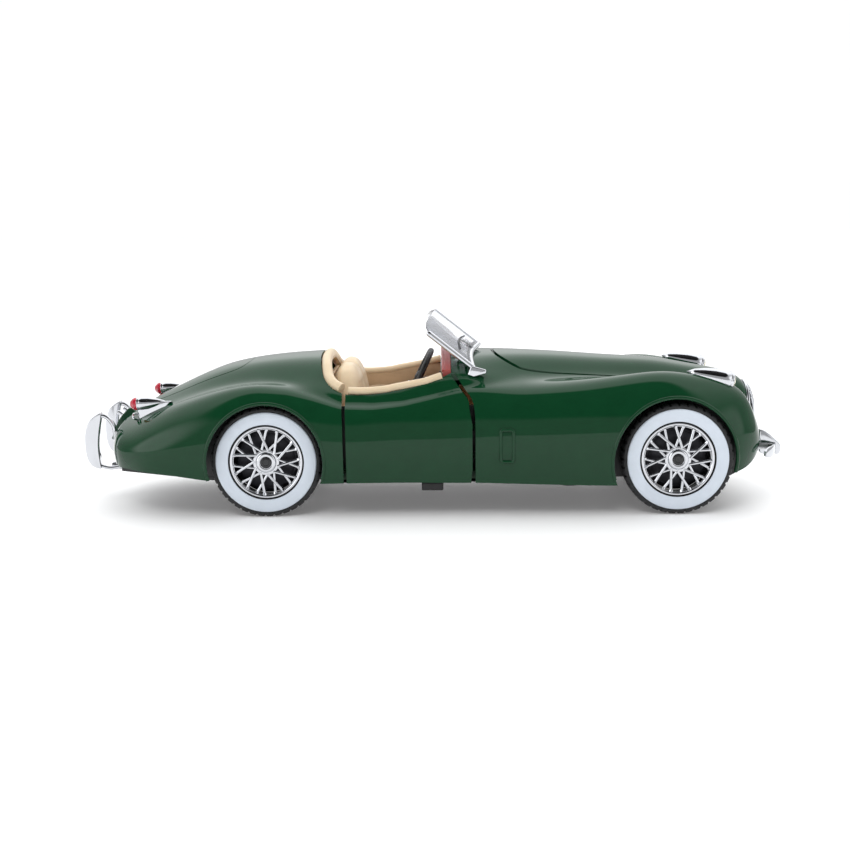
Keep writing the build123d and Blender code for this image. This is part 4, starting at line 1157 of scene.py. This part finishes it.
def steering():
    axis = Vector((-math.cos(TILT), 0, math.sin(TILT)))
    u = Vector((0, 1, 0))
    w = axis.cross(u)
    centre = Vector(STEER)

    def at_wheel(r, t, d=0.0):
        return centre + (u * math.cos(t) + w * math.sin(t)) * r + axis * d
    parts = []
    circle = [at_wheel(8.2, 2 * math.pi * k / 120) for k in range(120)]
    parts.append(tube("rim", circle, 0.78, BLACK, 18, closed=True))
    for k in range(44):
        t = 2 * math.pi * k / 44
        bump = [at_wheel(8.2, t - 0.045, 0), at_wheel(8.2, t, 0), at_wheel(8.2, t + 0.045, 0)]
        parts.append(tube("grip", bump, [0.76, 0.87, 0.76], BLACK, 12))
    for k in range(4):
        for off in (-0.9, 0.0, 0.9):
            t = math.pi / 2 * k + math.radians(45)
            base = at_wheel(1.3, t + off * 0.42)
            tip = at_wheel(7.9, t + off * 0.075)
            parts.append(rod("wire", base, tip, 0.13, CHROME, 8))
    cap = [(-0.9, 0), (-0.9, 1.15), (0.3, 1.6), (0.7, 1.55), (0.95, 1.2), (1.1, 0.7), (1.15, 0)]
    parts.append(lathe("cap", cap, STEER, axis, BLACK, 32))
    parts.append(rod("column", centre - axis * 0.5, centre - axis * 7.5, 0.55, BLACK, 20))
    stalk = centre - axis * 2.4
    parts.append(rod("stalk", stalk, stalk + Vector((-0.2, 3.6, 0.8)), 0.16, CHROME, 8))
    return join("steering_piece", parts)


finish_piece(steering(), "car", ["steering_wheel"])


def gear_lever():
    stick = [(0, 0.42), (4.6, 0.33), (6.9, 0.3), (6.95, 0.5)]
    knob = [(7.05, 0.75), (7.5, 0.98), (8.0, 1.0), (8.5, 0.8), (8.8, 0.4), (8.85, 0)]
    lever = lathe("lever", stick + knob, (-12, 0, 13.6), (-1.5, 0, 7), BLACK, 28)
    return join("gear_lever_piece", [lever])


finish_piece(gear_lever(), "car", ["gear_lever"])


# ---------------------------------------------------------------- windscreen

FOOT_MID = Vector((2.8, 0.0, 42.6))
TOP_MID = Vector((-9.3, 0.0, 52.2))
SWEEP = Vector((-2.2, -21.0, -4.1))
PANE = [(0.0, 0.02), (0.3, 0.09), (0.5, 0.12), (0.75, 0.10), (1, 0.03), (1, 0.90), (0.975, 0.98),
        (0.9, 1.04), (0.72, 1.07), (0.4, 1.06), (0.0, 1.0)]


def on_pane(s, h, side):
    # A place on a screen pane: s from the middle outwards, h from foot to top.
    p = FOOT_MID + (TOP_MID - FOOT_MID) * h + SWEEP * s
    return Vector((p.x, p.y * -side, p.z))


def pane(side):
    # One flat sheet with a rounded outer corner and softened edges.
    low = [on_pane(s, h, side) for s, h in PANE]
    n = (low[4] - low[0]).cross(low[-1] - low[0]).normalized()
    n = n if n.z > 0 else -n
    thick = 0.5
    ring = [(p.x + CX, p.y, p.z) for p in low]
    ring += [(p.x + CX + n.x * thick, p.y + n.y * thick, p.z + n.z * thick) for p in low]
    k = len(low)
    faces = [list(range(k))[::-1], list(range(k, 2 * k))]
    faces += [(i, (i + 1) % k, k + (i + 1) % k, k + i) for i in range(k)]
    return bevel(obj_from("pane", ring, faces, CLEAR), 0.08, 2, 30)


glass_piece = join("screen_panes", [pane(1), pane(-1)])
finish_piece(glass_piece, "car", ["windscreen_glass"])


def screen_frame():
    parts = []
    for side in (-1, 1):
        spots = [(0, 0.0), (0.3, 0.07), (0.5, 0.10), (0.75, 0.08), (1, 0.0)]
        path = smooth_path([on_pane(s, h, side) for s, h in spots], 6)
        parts.append(tube("rail", path, 0.72, CHROME, 20))
        post = [on_pane(1, h, side) for h in (-0.02, 0.2, 0.5, 0.93)]
        parts.append(tube("post", post, 0.78, CHROME, 20))
        finial = [(-0.2, 0.78), (0.3, 0.78), (0.75, 0.55), (0.95, 0)]
        parts.append(lathe("finial", finial, on_pane(1, 0.93, side), TOP_MID - FOOT_MID, CHROME, 20))
        gasket = [on_pane(s * 0.985 + 0.005, h + 0.075, side) for s, h in spots]
        parts.append(tube("gasket", smooth_path(gasket, 6), 0.33, BLACK, 10))
        inner = [on_pane(0.955, h, side) for h in (0.06, 0.4, 0.86)]
        parts.append(tube("gasket", inner, 0.28, BLACK, 10))
        foot = [(-0.8, 36.6), (0.2, 39.0), (4.2, 37.9), (4.2, 36.9), (0.9, 36.0)]
        parts.append(bevel(prism("wedge", foot, "y", side * 20.4, side * 22.2, CHROME), 0.3, 3))
    lean = (TOP_MID - FOOT_MID).cross(Vector((0, 1, 0))).normalized()
    lean = lean if lean.x > 0 else -lean
    for side in (-1, 1):
        edge = [on_pane(0.045, h, side) for h in (0.1, 0.5, 0.98)]
        parts.append(tube("gasket", edge, 0.26, BLACK, 10))
        sweep = ((0.80, 0.33), (0.6, 0.39), (0.42, 0.39), (0.24, 0.33))
        bow = [on_pane(a, h, side) + lean * 0.75 for a, h in sweep]
        parts.append(tube("blade", smooth_path(bow, 6), 0.24, BLACK, 8))
        reach = ((0.5, 0.39, 0.9), (0.42, 0.2, 0.8), (0.36, 0.06, 0.5))
        arm = [on_pane(a, h, side) + lean * lift for a, h, lift in reach]
        parts.append(tube("arm", smooth_path(arm, 5), 0.2, STEEL, 8))
    parts.append(tube("centre", [on_pane(0, h, 1) for h in (-0.04, 0.5, 1.0)], 0.56, CHROME, 18))
    return join("screen_frame", parts)


finish_piece(screen_frame(), "car", ["windscreen_frame"])

# ---------------------------------------------------------------- lamps and bright work

HEAD = (69.4, 20.0, 34.0)
HEAD_DIR = (-math.cos(math.radians(13)), 0.0, math.sin(math.radians(13)))
TAIL = (-90.0, 16.0, 28.9)
TAIL_DIR = (1.0, 0.0, 0.05)


def headlight():
    pod = [(0.9, 2.1), (0.55, 2.14), (0.0, 2.2), (-0.2, 2.34), (-0.15, 2.52), (0.15, 2.6), (0.45, 2.62),
           (0.55, 2.54), (0.7, 2.54), (0.8, 2.6), (2.5, 2.65), (5, 2.45), (8, 1.85),
           (10.4, 1.15), (12.4, 0)]
    shell = lathe("pod", pod, HEAD, HEAD_DIR, CHROME, 72, 40)
    bowl = [(0.95, 2.1), (1.1, 1.8), (1.5, 1.1), (1.75, 0.5), (1.8, 0), (2.1, 0), (1.2, 2.1), (0.95, 2.1)]
    reflector = lathe("bowl", bowl, HEAD, HEAD_DIR, SILVER, 48, 60)
    bulb = [(1.75, 0.36), (1.1, 0.36), (0.85, 0.32), (0.72, 0.18), (0.7, 0)]
    bulb = lathe("bulb", bulb, HEAD, HEAD_DIR, DIAL, 24, 60)
    return join("headlight_pod_left", [shell, reflector, bulb])


def head_glass():
    outer = [(0.6, 2.08), (0.1, 2.12), (-0.35, 1.85), (-0.7, 1.35), (-0.95, 0.7), (-1.02, 0)]
    inner = [(-0.68, 0), (-0.6, 0.65), (-0.38, 1.2), (-0.05, 1.65), (0.3, 1.85), (0.6, 1.9)]
    glass = lathe("glass", outer + inner + [outer[0]], HEAD, HEAD_DIR, AMBER_CLEAR, 64, 50)
    parts = [glass]
    axis = Vector(HEAD_DIR)
    for k in range(-6, 7):
        y = k * 0.29
        half = math.sqrt(max(0.0, 1.65 ** 2 - y * y))
        if half < 0.4:
            continue
        pts = []
        for j in range(9):
            h = half * (j / 4 - 1)
            r = math.hypot(y, h)
            d = -0.62 + 0.15 * (r / 1.15) ** 2
            pts.append(Vector(HEAD) + axis * d + Vector((0, y, 0)) + axis.cross(Vector((0, 1, 0))) * h)
        parts.append(tube("flute", pts, 0.07, AMBER_CLEAR, 6))
    return join("headlight_glass_left", parts)


def tail_lamp():
    pod = [(0.6, 1.32), (0.35, 1.4), (0.12, 1.62), (0.12, 1.82), (0.35, 1.88), (0.6, 1.8), (0.7, 1.84),
           (1.6, 1.86), (3.2, 1.72), (5.5, 1.15), (7.4, 0.5), (8.3, 0)]
    parts = [lathe("pod", [(0.6, 0)] + pod, TAIL, TAIL_DIR, CHROME, 56, 40)]
    stem = [(-89.9, 28.6), (-84.5, 29.6), (-80.5, 29.6), (-84, 26), (-89.4, 24.5)]
    parts.append(bevel(prism("stem", stem, "y", 15.1, 16.9, CHROME), 0.3, 3))
    foot = smooth_path([(-90.9, 16.6, 26.2), (-90.4, 18.6, 25.3), (-89.6, 16, 24.6), (-90.3, 13.6, 25.6)],
                       8, True)
    parts.append(tube("foot", foot, 0.3, CHROME, 10, closed=True))
    return join("tail_pod_left", parts)


def tail_glass():
    # The stepped red lens.
    lens = [(0.45, 0), (0.45, 1.3), (0.1, 1.62), (-0.35, 1.74), (-0.75, 1.68), (-0.85, 1.54), (-1.2, 1.4),
            (-1.3, 1.22), (-1.6, 1.0), (-1.72, 0.76), (-1.9, 0.5), (-1.98, 0)]
    return join("tail_glass_left", [lathe("lens", lens, TAIL, TAIL_DIR, RED_LENS, 48, 40)])


LAMPS = [(headlight(), "headlight_pod_right", "headlight", "chrome"),
         (head_glass(), "headlight_glass_right", "headlight_lens", "clear"),
         (tail_lamp(), "tail_pod_right", "tail_lamp", "chrome"),
         (tail_glass(), "tail_glass_right", "tail_lens", "lens_red")]
for lamp_pair in LAMPS:
    finish_pair(*lamp_pair)


def grille():
    parts = []
    ring = [(77.2, y, z) for y, z in ellipse(0, NOSE_Z, 6.9, 8.7, 120)]
    parts.append(tube("surround", ring, 0.55, CHROME, 16, closed=True))
    parts.append(prism("mesh", ellipse(0, NOSE_Z, 6.2, 8.0, 80), "x", 75.4, 75.7, BLACK))
    for k in range(-5, 6):
        y = k * 1.08
        half = 8.3 * math.sqrt(max(0.02, 1 - (y / 6.7) ** 2)) - 0.1
        path = []
        for j in range(17):
            z = half * (1 - j / 8)
            bow = max(0.0, 1 - (z / 9.6) ** 2 - (y / 9.0) ** 2)
            path.append((75.3 + 4.5 * math.sqrt(bow), y, NOSE_Z + z))
        parts.append(tube("slat", path, 0.34, CHROME, 12, shape=lambda t: 1.0 - 0.3 * abs(math.cos(t))))
    for z in (18.9, 26.9):
        parts.append(rod("bar", (76.5, -5.7, z), (76.5, 5.7, z), 0.25, CHROME, 10))
    return join("grille_piece", parts)


finish_piece(grille(), "car", ["grille"])


def front_bumper():
    outer = [(84.0, 8.4), (83.7, 12), (82.7, 16), (81.0, 20), (78.4, 23.4)]
    path = smooth_path([(x - 0.35, y, 14.95) for x, y in outer], 10)
    cross = [(-0.25, -1.5), (0.1, -1.42), (0.28, -1.0), (0.36, 0), (0.28, 1.0), (0.1, 1.42), (-0.25, 1.5),
             (-0.42, 1.2), (-0.4, 0), (-0.42, -1.2)]
    rings = []
    for i, p in enumerate(path):
        a, b = path[max(i - 1, 0)], path[min(i + 1, len(path) - 1)]
        t = (b - a).normalized()
        n = Vector((t.y, -t.x, 0))
        taper = 1.0 - 0.55 * max(0.0, (i / (len(path) - 1) - 0.82) / 0.18) ** 2
        rings.append([tuple(p + n * c + Vector((0, 0, h * taper))) for c, h in cross])
    blade = soft_loft("blade", rings, CHROME, 45)
    rider = [(79.2, 13.4), (83.6, 13.1), (84.4, 14.2), (84.4, 15.7), (82.8, 17.4), (80.8, 19.1),
             (79.4, 19.8), (78.6, 19.4), (78.7, 16)]
    curve = [(p.x, p.z) for p in smooth_path([(a, 0, b) for a, b in rider], 6, True)]
    upright = bevel(prism("rider", curve, "y", 12.0, 14.2, CHROME), 0.55, 4, 50)
    bracket = block("bracket", 74.8, 82.2, 13.2, 15.0, 14.6, 16.2, STEEL, 0.2)
    bolt = lathe("bolt", [(0, 0), (0, 0.75), (0.25, 0.75), (0.5, 0.4), (0.55, 0)], (82.9, 9.6, 14.95),
                 (1, 0.06, 0), CHROME, 20)
    return join("bumper_left", [blade, upright, bracket, bolt])


def rear_rider():
    # An upright blade with its strap and brackets.
    back = [(-100.8, 25.6), (-102.6, 25.2), (-104.3, 23.6), (-105.3, 20.5), (-105.5, 17), (-105.1, 13.6),
            (-103.9, 11.4), (-102.2, 10.6), (-101.4, 10.7), (-101.7, 13), (-101.9, 17), (-101.5, 21)]
    curve = [(p.x, p.z) for p in smooth_path([(a, 0, b) for a, b in back], 6, True)]
    blade = bevel(prism("blade", curve, "y", 10.2, 13.0, CHROME), 0.6, 4, 50)
    mid_y = 11.65
    high = [(-101.4, 24.95), (-100.3, 25.0), (-98.9, 24.1), (-97.7, 22.2), (-97.35, 20.0), (-97.3, 18.4)]
    path = smooth_path([(x, mid_y, z) for x, z in high], 8)
    strap = tube("strap", path, 0.62, CHROME, 16, shape=lambda t: 1.0 + 0.25 * math.cos(t) ** 2)
    low = [(-102.0, 11.15), (-99, 10.5), (-95.4, 11.1), (-93.7, 12.0)]
    foot = tube("foot", smooth_path([(x, mid_y, z) for x, z in low], 8), 0.52, CHROME, 14)
    bracket = block("bracket", -97.5, -93.0, 10.7, 12.6, 18.7, 20.9, STEEL, 0.2)
    return join("rear_rider_left", [blade, strap, foot, bracket])


BUMPERS = [(front_bumper(), "bumper_right", "front_bumper", "chrome"),
           (rear_rider(), "rear_rider_right", "rear_overrider", "chrome")]
for bumper_pair in BUMPERS:
    finish_pair(*bumper_pair)


def plate_mount():
    side = [(-99.9, 17.6), (-97.9, 22.6), (-96.6, 24.4), (-94.8, 26.2), (-93.6, 26.4),
            (-93.0, 24.6), (-94.5, 22)]
    parts = [bevel(prism("plinth", [*side, (-98.0, 17.4)], "y", -6.2, 6.2, PAINT), 0.35, 3)]
    lamp = [(0, 0), (0, 0.55), (1.3, 0.6), (1.5, 0.4), (1.5, 0)]
    for s in (-1, 1):
        parts.append(lathe("lamp", lamp, (-97.2, s * 3.4, 24.2), (-0.8, 0, 0.5), CHROME, 20))
    return join("plate_plinth", parts)


finish_piece(plate_mount(), "car", ["number_plate_mount"])

# ---------------------------------------------------------------- underside and engine bay

def base_piece():
    keel = [(-94.5, 12.1), (-94.5, 10.8), (-70, 8.0), (70, 8.0), (74.5, 10.4), (74.5, 11.6),
            (69.5, 9.2), (-69.5, 9.2)]
    parts = [bevel(prism("keel", keel, "y", -18, 18, BLACK), 0.15)]
    tray = [(-27.8, 9.15), (-27.8, 9.0), (-19.5, 8.05), (19.5, 8.05), (27.8, 9.0), (27.8, 9.15)]
    parts.append(prism("floor", tray, "x", -37.4, 34.3, BLACK))
    foot = block("foot", -13.2, -7.4, -24, 24, 5.9, 8.1, BLACK, 0.35)
    for y in (14.0, -14.0):
        cut(foot, lathe("hole", [(0, 0), (0, 1.1), (4, 1.1), (4, 0)], (-10.3, y, 5.0), UP, None, 32))
    parts.append(foot)
    bay = [(10.5, 9.0), (10.5, 31.0), (52, 31.0), (60, 29.0), (66, 25.5), (70, 22), (70, 9.0)]
    for s in (-1, 1):
        parts.append(bevel(prism("bay", bay, "y", s * 15.4, s * 16.2, BLACK), 0.15))
        for cx in (-54, 54):
            parts.append(block("saddle", cx - 3, cx + 3, s * 16.3, s * 19, 8.0, 18.4, BLACK, 0.25))
        for k in range(6):
            x = 15 + 6 * k
            parts.append(rod("rib", (x, s * 15.35, 10), (x, s * 15.35, 30), 0.25, BLACK, 8))
    parts.append(block("firewall", 10.5, 11.3, -15.9, 15.9, 9, 33, BLACK, 0.2))
    for first, last, low in ((-82.0, -38.8, 11.6), (33.5, 71.5, 9.0)):
        well = [(first, low)]
        for k in range(25):
            x = first + (last - first) * k / 24
            well.append((x, top_z(x, 19.0) - 2.6))
        well += [(last, 9.8), (last - 2.5, 9.0), (-69.0 if first < 0 else first + 1, 9.0)]
        for s in (-1, 1):
            parts.append(prism("well", well, "y", s * 17.9, s * 18.6, BLACK))
    for k in range(7):
        x = 16 + 7.5 * k
        parts.append(rod("rib", (x, -14, 8.05), (x, 14, 8.05), 0.3, BLACK, 8))
    for s in (-1, 1):
        for x0, x1 in ((-66, -40), (-30, -16), (-4, 34)):
            parts.append(tube("channel", [(x0, s * 12.6, 8.05), (x1, s * 12.6, 8.05)], 0.35, BLACK, 8))
        parts.append(tube("channel", [(-36, s * 20.6, 8.2), (33, s * 20.6, 8.2)], 0.3, BLACK, 8))
    for x, y in SCREWS:
        boss = [(0, 1.75), (0, 2.5), (0.25, 2.7), (0.8, 2.8), (0.8, 1.75), (0, 1.75)]
        parts.append(lathe("boss", boss, (x, y, 7.7), UP, BLACK, 36))
    for x in (40, 43, 46):
        parts.append(lathe("drain", [(0, 0), (0, 1.1), (0.2, 1.0), (0.2, 0)], (x, 0, 7.9), UP, BLACK, 20))
    return join("base_casting", parts)


finish_piece(base_piece(), "car", ["baseplate"])


def base_screw(x, y, angle):
    # A pan-head screw with a cross slot, turned by an angle.
    shape = [(0, 0), (0, 1.1), (0.12, 1.42), (0.35, 1.56), (0.75, 1.56), (0.8, 0.78),
             (7.7, 0.78), (7.7, 0)]
    head = lathe("head", shape, (x, y, 7.8), UP, STEEL, 36)
    for turn in (0, 90):
        slot_box = block("slot", -1.1, 1.1, -0.17, 0.17, 7.6, 8.15, None)
        to_origin = Matrix.Translation((-CX * MM, 0, 0))
        spin = Matrix.Rotation(math.radians(turn + angle), 4, "Z")
        slot_box.data.transform(Matrix.Translation((CX * MM + x * MM, y * MM, 0)) @ spin @ to_origin)
        cut(head, slot_box)
    shade(head, 35)
    return head


for k, (x, y) in enumerate(SCREWS):
    screw = join(f"base_screw_piece_{k + 1}", [base_screw(x, y, 20 * k)])
    finish_piece(screw, "car", [f"base_screw_{k + 1}"])


def exhaust():
    path = smooth_path([(-36, -7, 7.12), (-60, -7, 7.12), (-70, -7, 7.14), (-80, -7, 8.2),
                        (-99.6, -7, 10.45)], 8)
    parts = [tube("pipe", path, 0.82, STEEL, 20)]
    # The silencer's levels: how far each is drawn in, and its height.
    levels = ((0.5, 5.95), (0.15, 6.25), (0, 6.7), (0, 7.3), (0.15, 7.7), (0.5, 7.98))
    box = [rounded_ring(-62 + d, -42 - d, -10.4 + d, -3.6 - d, z, 10, 72) for d, z in levels]
    parts.append(soft_loft("silencer", box, STEEL, 40))
    for x in (-61, -43):
        strap = [(x, -10.45, 6.9), (x, -9.8, 6.0), (x, -4.2, 6.0), (x, -3.55, 6.9)]
        parts.append(tube("band", strap, 0.3, STEEL, 8))
    tip = [(-4.6, 0.83), (-4.6, 0.93), (0.05, 0.95), (0.1, 0.8), (0.0, 0.6), (-2.5, 0.6)]
    parts.append(lathe("tip", tip, path[-1], (path[-1] - path[-2]).normalized(), CHROME, 28))
    return join("exhaust_piece", parts)


finish_piece(exhaust(), "car", ["exhaust"])


def engine():
    parts = [block("sump", 15, 48, -5, 5, 9.3, 26, ENGINE, 0.5)]
    parts.append(block("head", 15.5, 47.5, -3.9, 3.9, 26, 28.2, ENGINE, 0.3))
    for s in (-1, 1):
        cam = [(0.1, 0), (0.1, 1.2), (0.4, 1.5), (31.6, 1.5), (31.9, 1.2), (31.9, 0)]
        parts.append(lathe("cam", cam, (15.5, s * 2.6, 29.0), AHEAD, SILVER, 40))
        for k in range(8):
            nut = [(0, 0), (0, 0.4), (0.35, 0.4), (0.45, 0.25), (0.45, 0)]
            parts.append(lathe("nut", nut, (17.5 + 4.1 * k, s * 2.6, 30.42), UP, CHROME, 6, 20))
    for k in range(6):
        x = 19 + 4.9 * k
        plug = [(0, 0), (0, 0.5), (0.9, 0.5), (1.0, 0.35), (1.8, 0.3), (1.8, 0)]
        parts.append(lathe("plug", plug, (x, 0, 28.2), UP, BLACK, 14))
        lead = smooth_path([(x, 0, 29.8), (x + 0.5, 1.0, 31.3), (x + 2, 3.4, 31.0), (x + 2.5, 4.6, 27.5)],
                           6)
        parts.append(tube("lead", lead, 0.2, BLACK, 8))
        port = smooth_path([(x, 4.9, 24.6), (x, 6.5, 24.4), (x, 7.4, 23.2), (x, 7.2, 21.8)], 6)
        parts.append(tube("port", port, 0.85, STEEL, 14))
        out = smooth_path([(x, -4.9, 24.0), (x, -6.6, 23.6), (x - 0.5, -7.6, 21.0), (x - 1.5, -7.9, 18.0)],
                          6)
        parts.append(tube("header", out, 0.8, STEEL, 14))
    log = [(0, 0), (0, 1.3), (0.3, 1.5), (28.4, 1.5), (28.7, 1.3), (28.7, 0)]
    parts.append(lathe("log", log, (17.2, 7.0, 21.5), AHEAD, ENGINE, 28))
    fan = [(0, 0), (0, 4.5), (0.25, 4.6), (0.5, 4.5), (0.5, 1.4), (2.5, 1.1), (2.6, 0)]
    parts.append(lathe("pulley", fan, (48, 0, 20), AHEAD, ENGINE, 48))
    for k in range(4):
        t = math.radians(45 + 90 * k)
        blade = [(x, r * math.cos(t), 20 + r * math.sin(t)) for x, r in ((50.2, 1.0), (50.4, 4.4))]
        parts.append(tube("blade", blade, [0.5, 0.9], STEEL, 12,
                          shape=lambda a: 0.35 + 0.65 * abs(math.cos(a))))
    for z in (12, 14.5, 17):
        for y in (5.0, -5.0):
            parts.append(tube("rib", [(15.6, y, z), (47.4, y, z)], 0.25, ENGINE, 8))
    return join("engine_piece", parts)


finish_piece(engine(), "car", ["engine"])


def radiator():
    parts = [block("core", 60.1, 62.1, -8.6, 8.6, 11, 25.6, BLACK, 0.1)]
    parts.append(block("header", 59.95, 62.25, -9, 9, 25.4, 27.5, STEEL, 0.4))
    parts.append(block("footer", 59.95, 62.25, -9, 9, 9.2, 11.2, STEEL, 0.4))
    for k in range(29):
        y = -8.4 + 0.6 * k
        for x in (62.12, 60.08):
            parts.append(rod("fin", (x, y, 11), (x, y, 25.6), 0.1, STEEL, 6))
    cap = [(0, 0), (0, 0.9), (0.9, 0.9), (0.9, 1.3), (1.5, 1.3), (1.7, 1.0), (1.7, 0)]
    parts.append(lathe("cap", cap, (61.1, 0, 27.3), UP, CHROME, 24))
    return join("radiator_piece", parts)


finish_piece(radiator(), "car", ["radiator"])


def pin(name, a, b, node):
    # A hinge pin with slightly rounded ends.
    axis = Vector(b) - Vector(a)
    n = axis.length
    r = 0.5
    shape = [(0, 0), (0, r * 0.7), (0.15, r), (n - 0.15, r), (n, r * 0.7), (n, 0)]
    finish_piece(join(name, [lathe("pin", shape, a, axis, STEEL, 24)]), "car", [node])


hood_x, hood_z = HOOD_HINGE
pin("hood_pin_piece", (hood_x, -9.9, hood_z), (hood_x, 9.9, hood_z), "hood_pin")
for side, s in SIDES:
    x, y = DOOR_HINGE
    pin(f"door_pin_piece_{side}", (x, s * y, 12.6), (x, s * y, 26.4), f"door_pin_{side}")

# ---------------------------------------------------------------- camera, floor and light

CAMERA_AT = (0.00189, -0.36999, 0.07918)
YAW, PITCH, ROLL = math.radians(-0.575), math.radians(9.121), math.radians(-0.629)
fwd = Vector((math.sin(YAW) * math.cos(PITCH), math.cos(YAW) * math.cos(PITCH), -math.sin(PITCH)))
right = Vector((math.cos(YAW), -math.sin(YAW), 0))
up = right.cross(fwd)
r2 = right * math.cos(ROLL) + up * math.sin(ROLL)
u2 = up * math.cos(ROLL) - right * math.sin(ROLL)
cam_data = bpy.data.cameras.new("camera")
cam_data.lens = 56.12
cam_data.sensor_width = 36.0
cam_data.clip_start = 0.01
cam = bpy.data.objects.new("camera", cam_data)
bpy.context.scene.collection.objects.link(cam)
cam.matrix_world = Matrix.Translation(CAMERA_AT) @ Matrix((r2, u2, -fwd)).transposed().to_4x4()
bpy.context.scene.camera = cam

FLOOR = new_material("studio_floor", (0.9, 0.9, 0.91), 0.6)
floor_shader = FLOOR.node_tree.nodes["Principled BSDF"]
floor_shader.inputs["Emission Color"].default_value = (1.0, 0.985, 0.99, 1)
floor_shader.inputs["Emission Strength"].default_value = 0.12
add_vary(FLOOR, add_noise(FLOOR, 3.0), (0.895, 0.897, 0.90), (0.91, 0.91, 0.912))
grid = [(x, y) for x in (-4000.0, 0.0, 4000.0) for y in (-4000.0, 0.0, 4000.0)]
cells = [(3 * i + j, 3 * i + 3 + j, 3 * i + 4 + j, 3 * i + 1 + j) for i in range(2) for j in range(2)]
floor = obj_from("studio_floor", [(x, y, 0.0) for x, y in grid], cells, FLOOR, 180)


WORLD_LIGHT = 1.6


def studio_world():
    # A white room for the eye and for soft light. In reflections it has bright
    # cards at both ends and a dark gap above the camera.
    w = bpy.data.worlds.new("studio_world")
    w.use_nodes = True
    bpy.context.scene.world = w
    t = w.node_tree
    coords = t.nodes.new("ShaderNodeTexCoord")

    def link(a, b):
        t.links.new(a, b)

    def facing(direction, low, high, strength):
        # A soft round patch of the room in one direction.
        dot = t.nodes.new("ShaderNodeVectorMath")
        dot.operation = "DOT_PRODUCT"
        dot.inputs[1].default_value = Vector(direction).normalized()
        span = t.nodes.new("ShaderNodeMapRange")
        span.interpolation_type = "SMOOTHSTEP"
        span.inputs["From Min"].default_value = low
        span.inputs["From Max"].default_value = high
        span.inputs["To Max"].default_value = strength
        link(coords.outputs["Generated"], dot.inputs[0])
        link(dot.outputs["Value"], span.inputs["Value"])
        return span.outputs["Result"]

    def maths(op, a, b):
        node = t.nodes.new("ShaderNodeMath")
        node.operation = op
        for socket, v in zip(node.inputs, (a, b)):
            if isinstance(v, float):
                socket.default_value = v
            else:
                link(v, socket)
        return node.outputs[0]

    def blend(factor, a, b):
        node = t.nodes.new("ShaderNodeMix")
        node.data_type = "FLOAT"
        link(factor, node.inputs["Factor"])
        for name, v in (("A", a), ("B", b)):
            if isinstance(v, float):
                node.inputs[name].default_value = v
            else:
                link(v, node.inputs[name])
        return node.outputs["Result"]

    tilt = t.nodes.new("ShaderNodeVectorMath")
    tilt.operation = "DOT_PRODUCT"
    tilt.inputs[1].default_value = (0.0, 0.45, 1.0)
    link(coords.outputs["Generated"], tilt.inputs[0])
    ramp = t.nodes.new("ShaderNodeValToRGB")
    steps = ((0.0, 0.30), (0.05, 0.28), (0.36, 0.34), (0.52, 0.44), (0.68, 0.72), (0.82, 1.0), (1.0, 1.0))
    while len(ramp.color_ramp.elements) < len(steps):
        ramp.color_ramp.elements.new(0.5)
    for e, (place, v) in zip(ramp.color_ramp.elements, steps):
        e.position = place
        e.color = (v, v, v, 1)
    link(tilt.outputs["Value"], ramp.inputs["Fac"])
    soft = maths("MULTIPLY", ramp.outputs["Color"], WORLD_LIGHT)
    gap = facing((0.0, -0.50, 0.87), 0.785, 0.86, 0.98)
    shiny = maths("MULTIPLY", soft, maths("SUBTRACT", 1.0, gap))
    shiny = maths("ADD", shiny, facing((-0.86, -0.45, 0.28), 0.86, 0.96, 2.1))
    shiny = maths("ADD", shiny, facing((0.88, -0.42, 0.22), 0.88, 0.96, 1.0))
    path = t.nodes.new("ShaderNodeLightPath")
    level = blend(path.outputs["Is Glossy Ray"], soft, shiny)
    level = blend(path.outputs["Is Camera Ray"], level, 1.02)
    bg = t.nodes["Background"]
    bg.inputs["Color"].default_value = (0.985, 0.995, 1.0, 1)
    link(level, bg.inputs["Strength"])


studio_world()
bpy.context.scene.view_settings.view_transform = "Standard"


def softbox(name, place, target, size_x, size_y, watts, tint=(1, 1, 1)):
    data = bpy.data.lights.new(name, "AREA")
    data.shape = "RECTANGLE"
    data.size = size_x
    data.size_y = size_y
    data.energy = watts
    data.color = tint
    ob = bpy.data.objects.new(name, data)
    ob.location = place
    ob.rotation_euler = (Vector(target) - Vector(place)).to_track_quat("-Z", "Y").to_euler()
    bpy.context.scene.collection.objects.link(ob)
    return ob


softbox("key_light", (-0.25, -0.75, 0.85), (0, 0, 0.02), 0.5, 0.35, 3.0).visible_glossy = False
softbox("rim_light", (0.35, 0.7, 0.6), (0, 0, 0.02), 0.8, 0.3, 2.0).visible_glossy = False
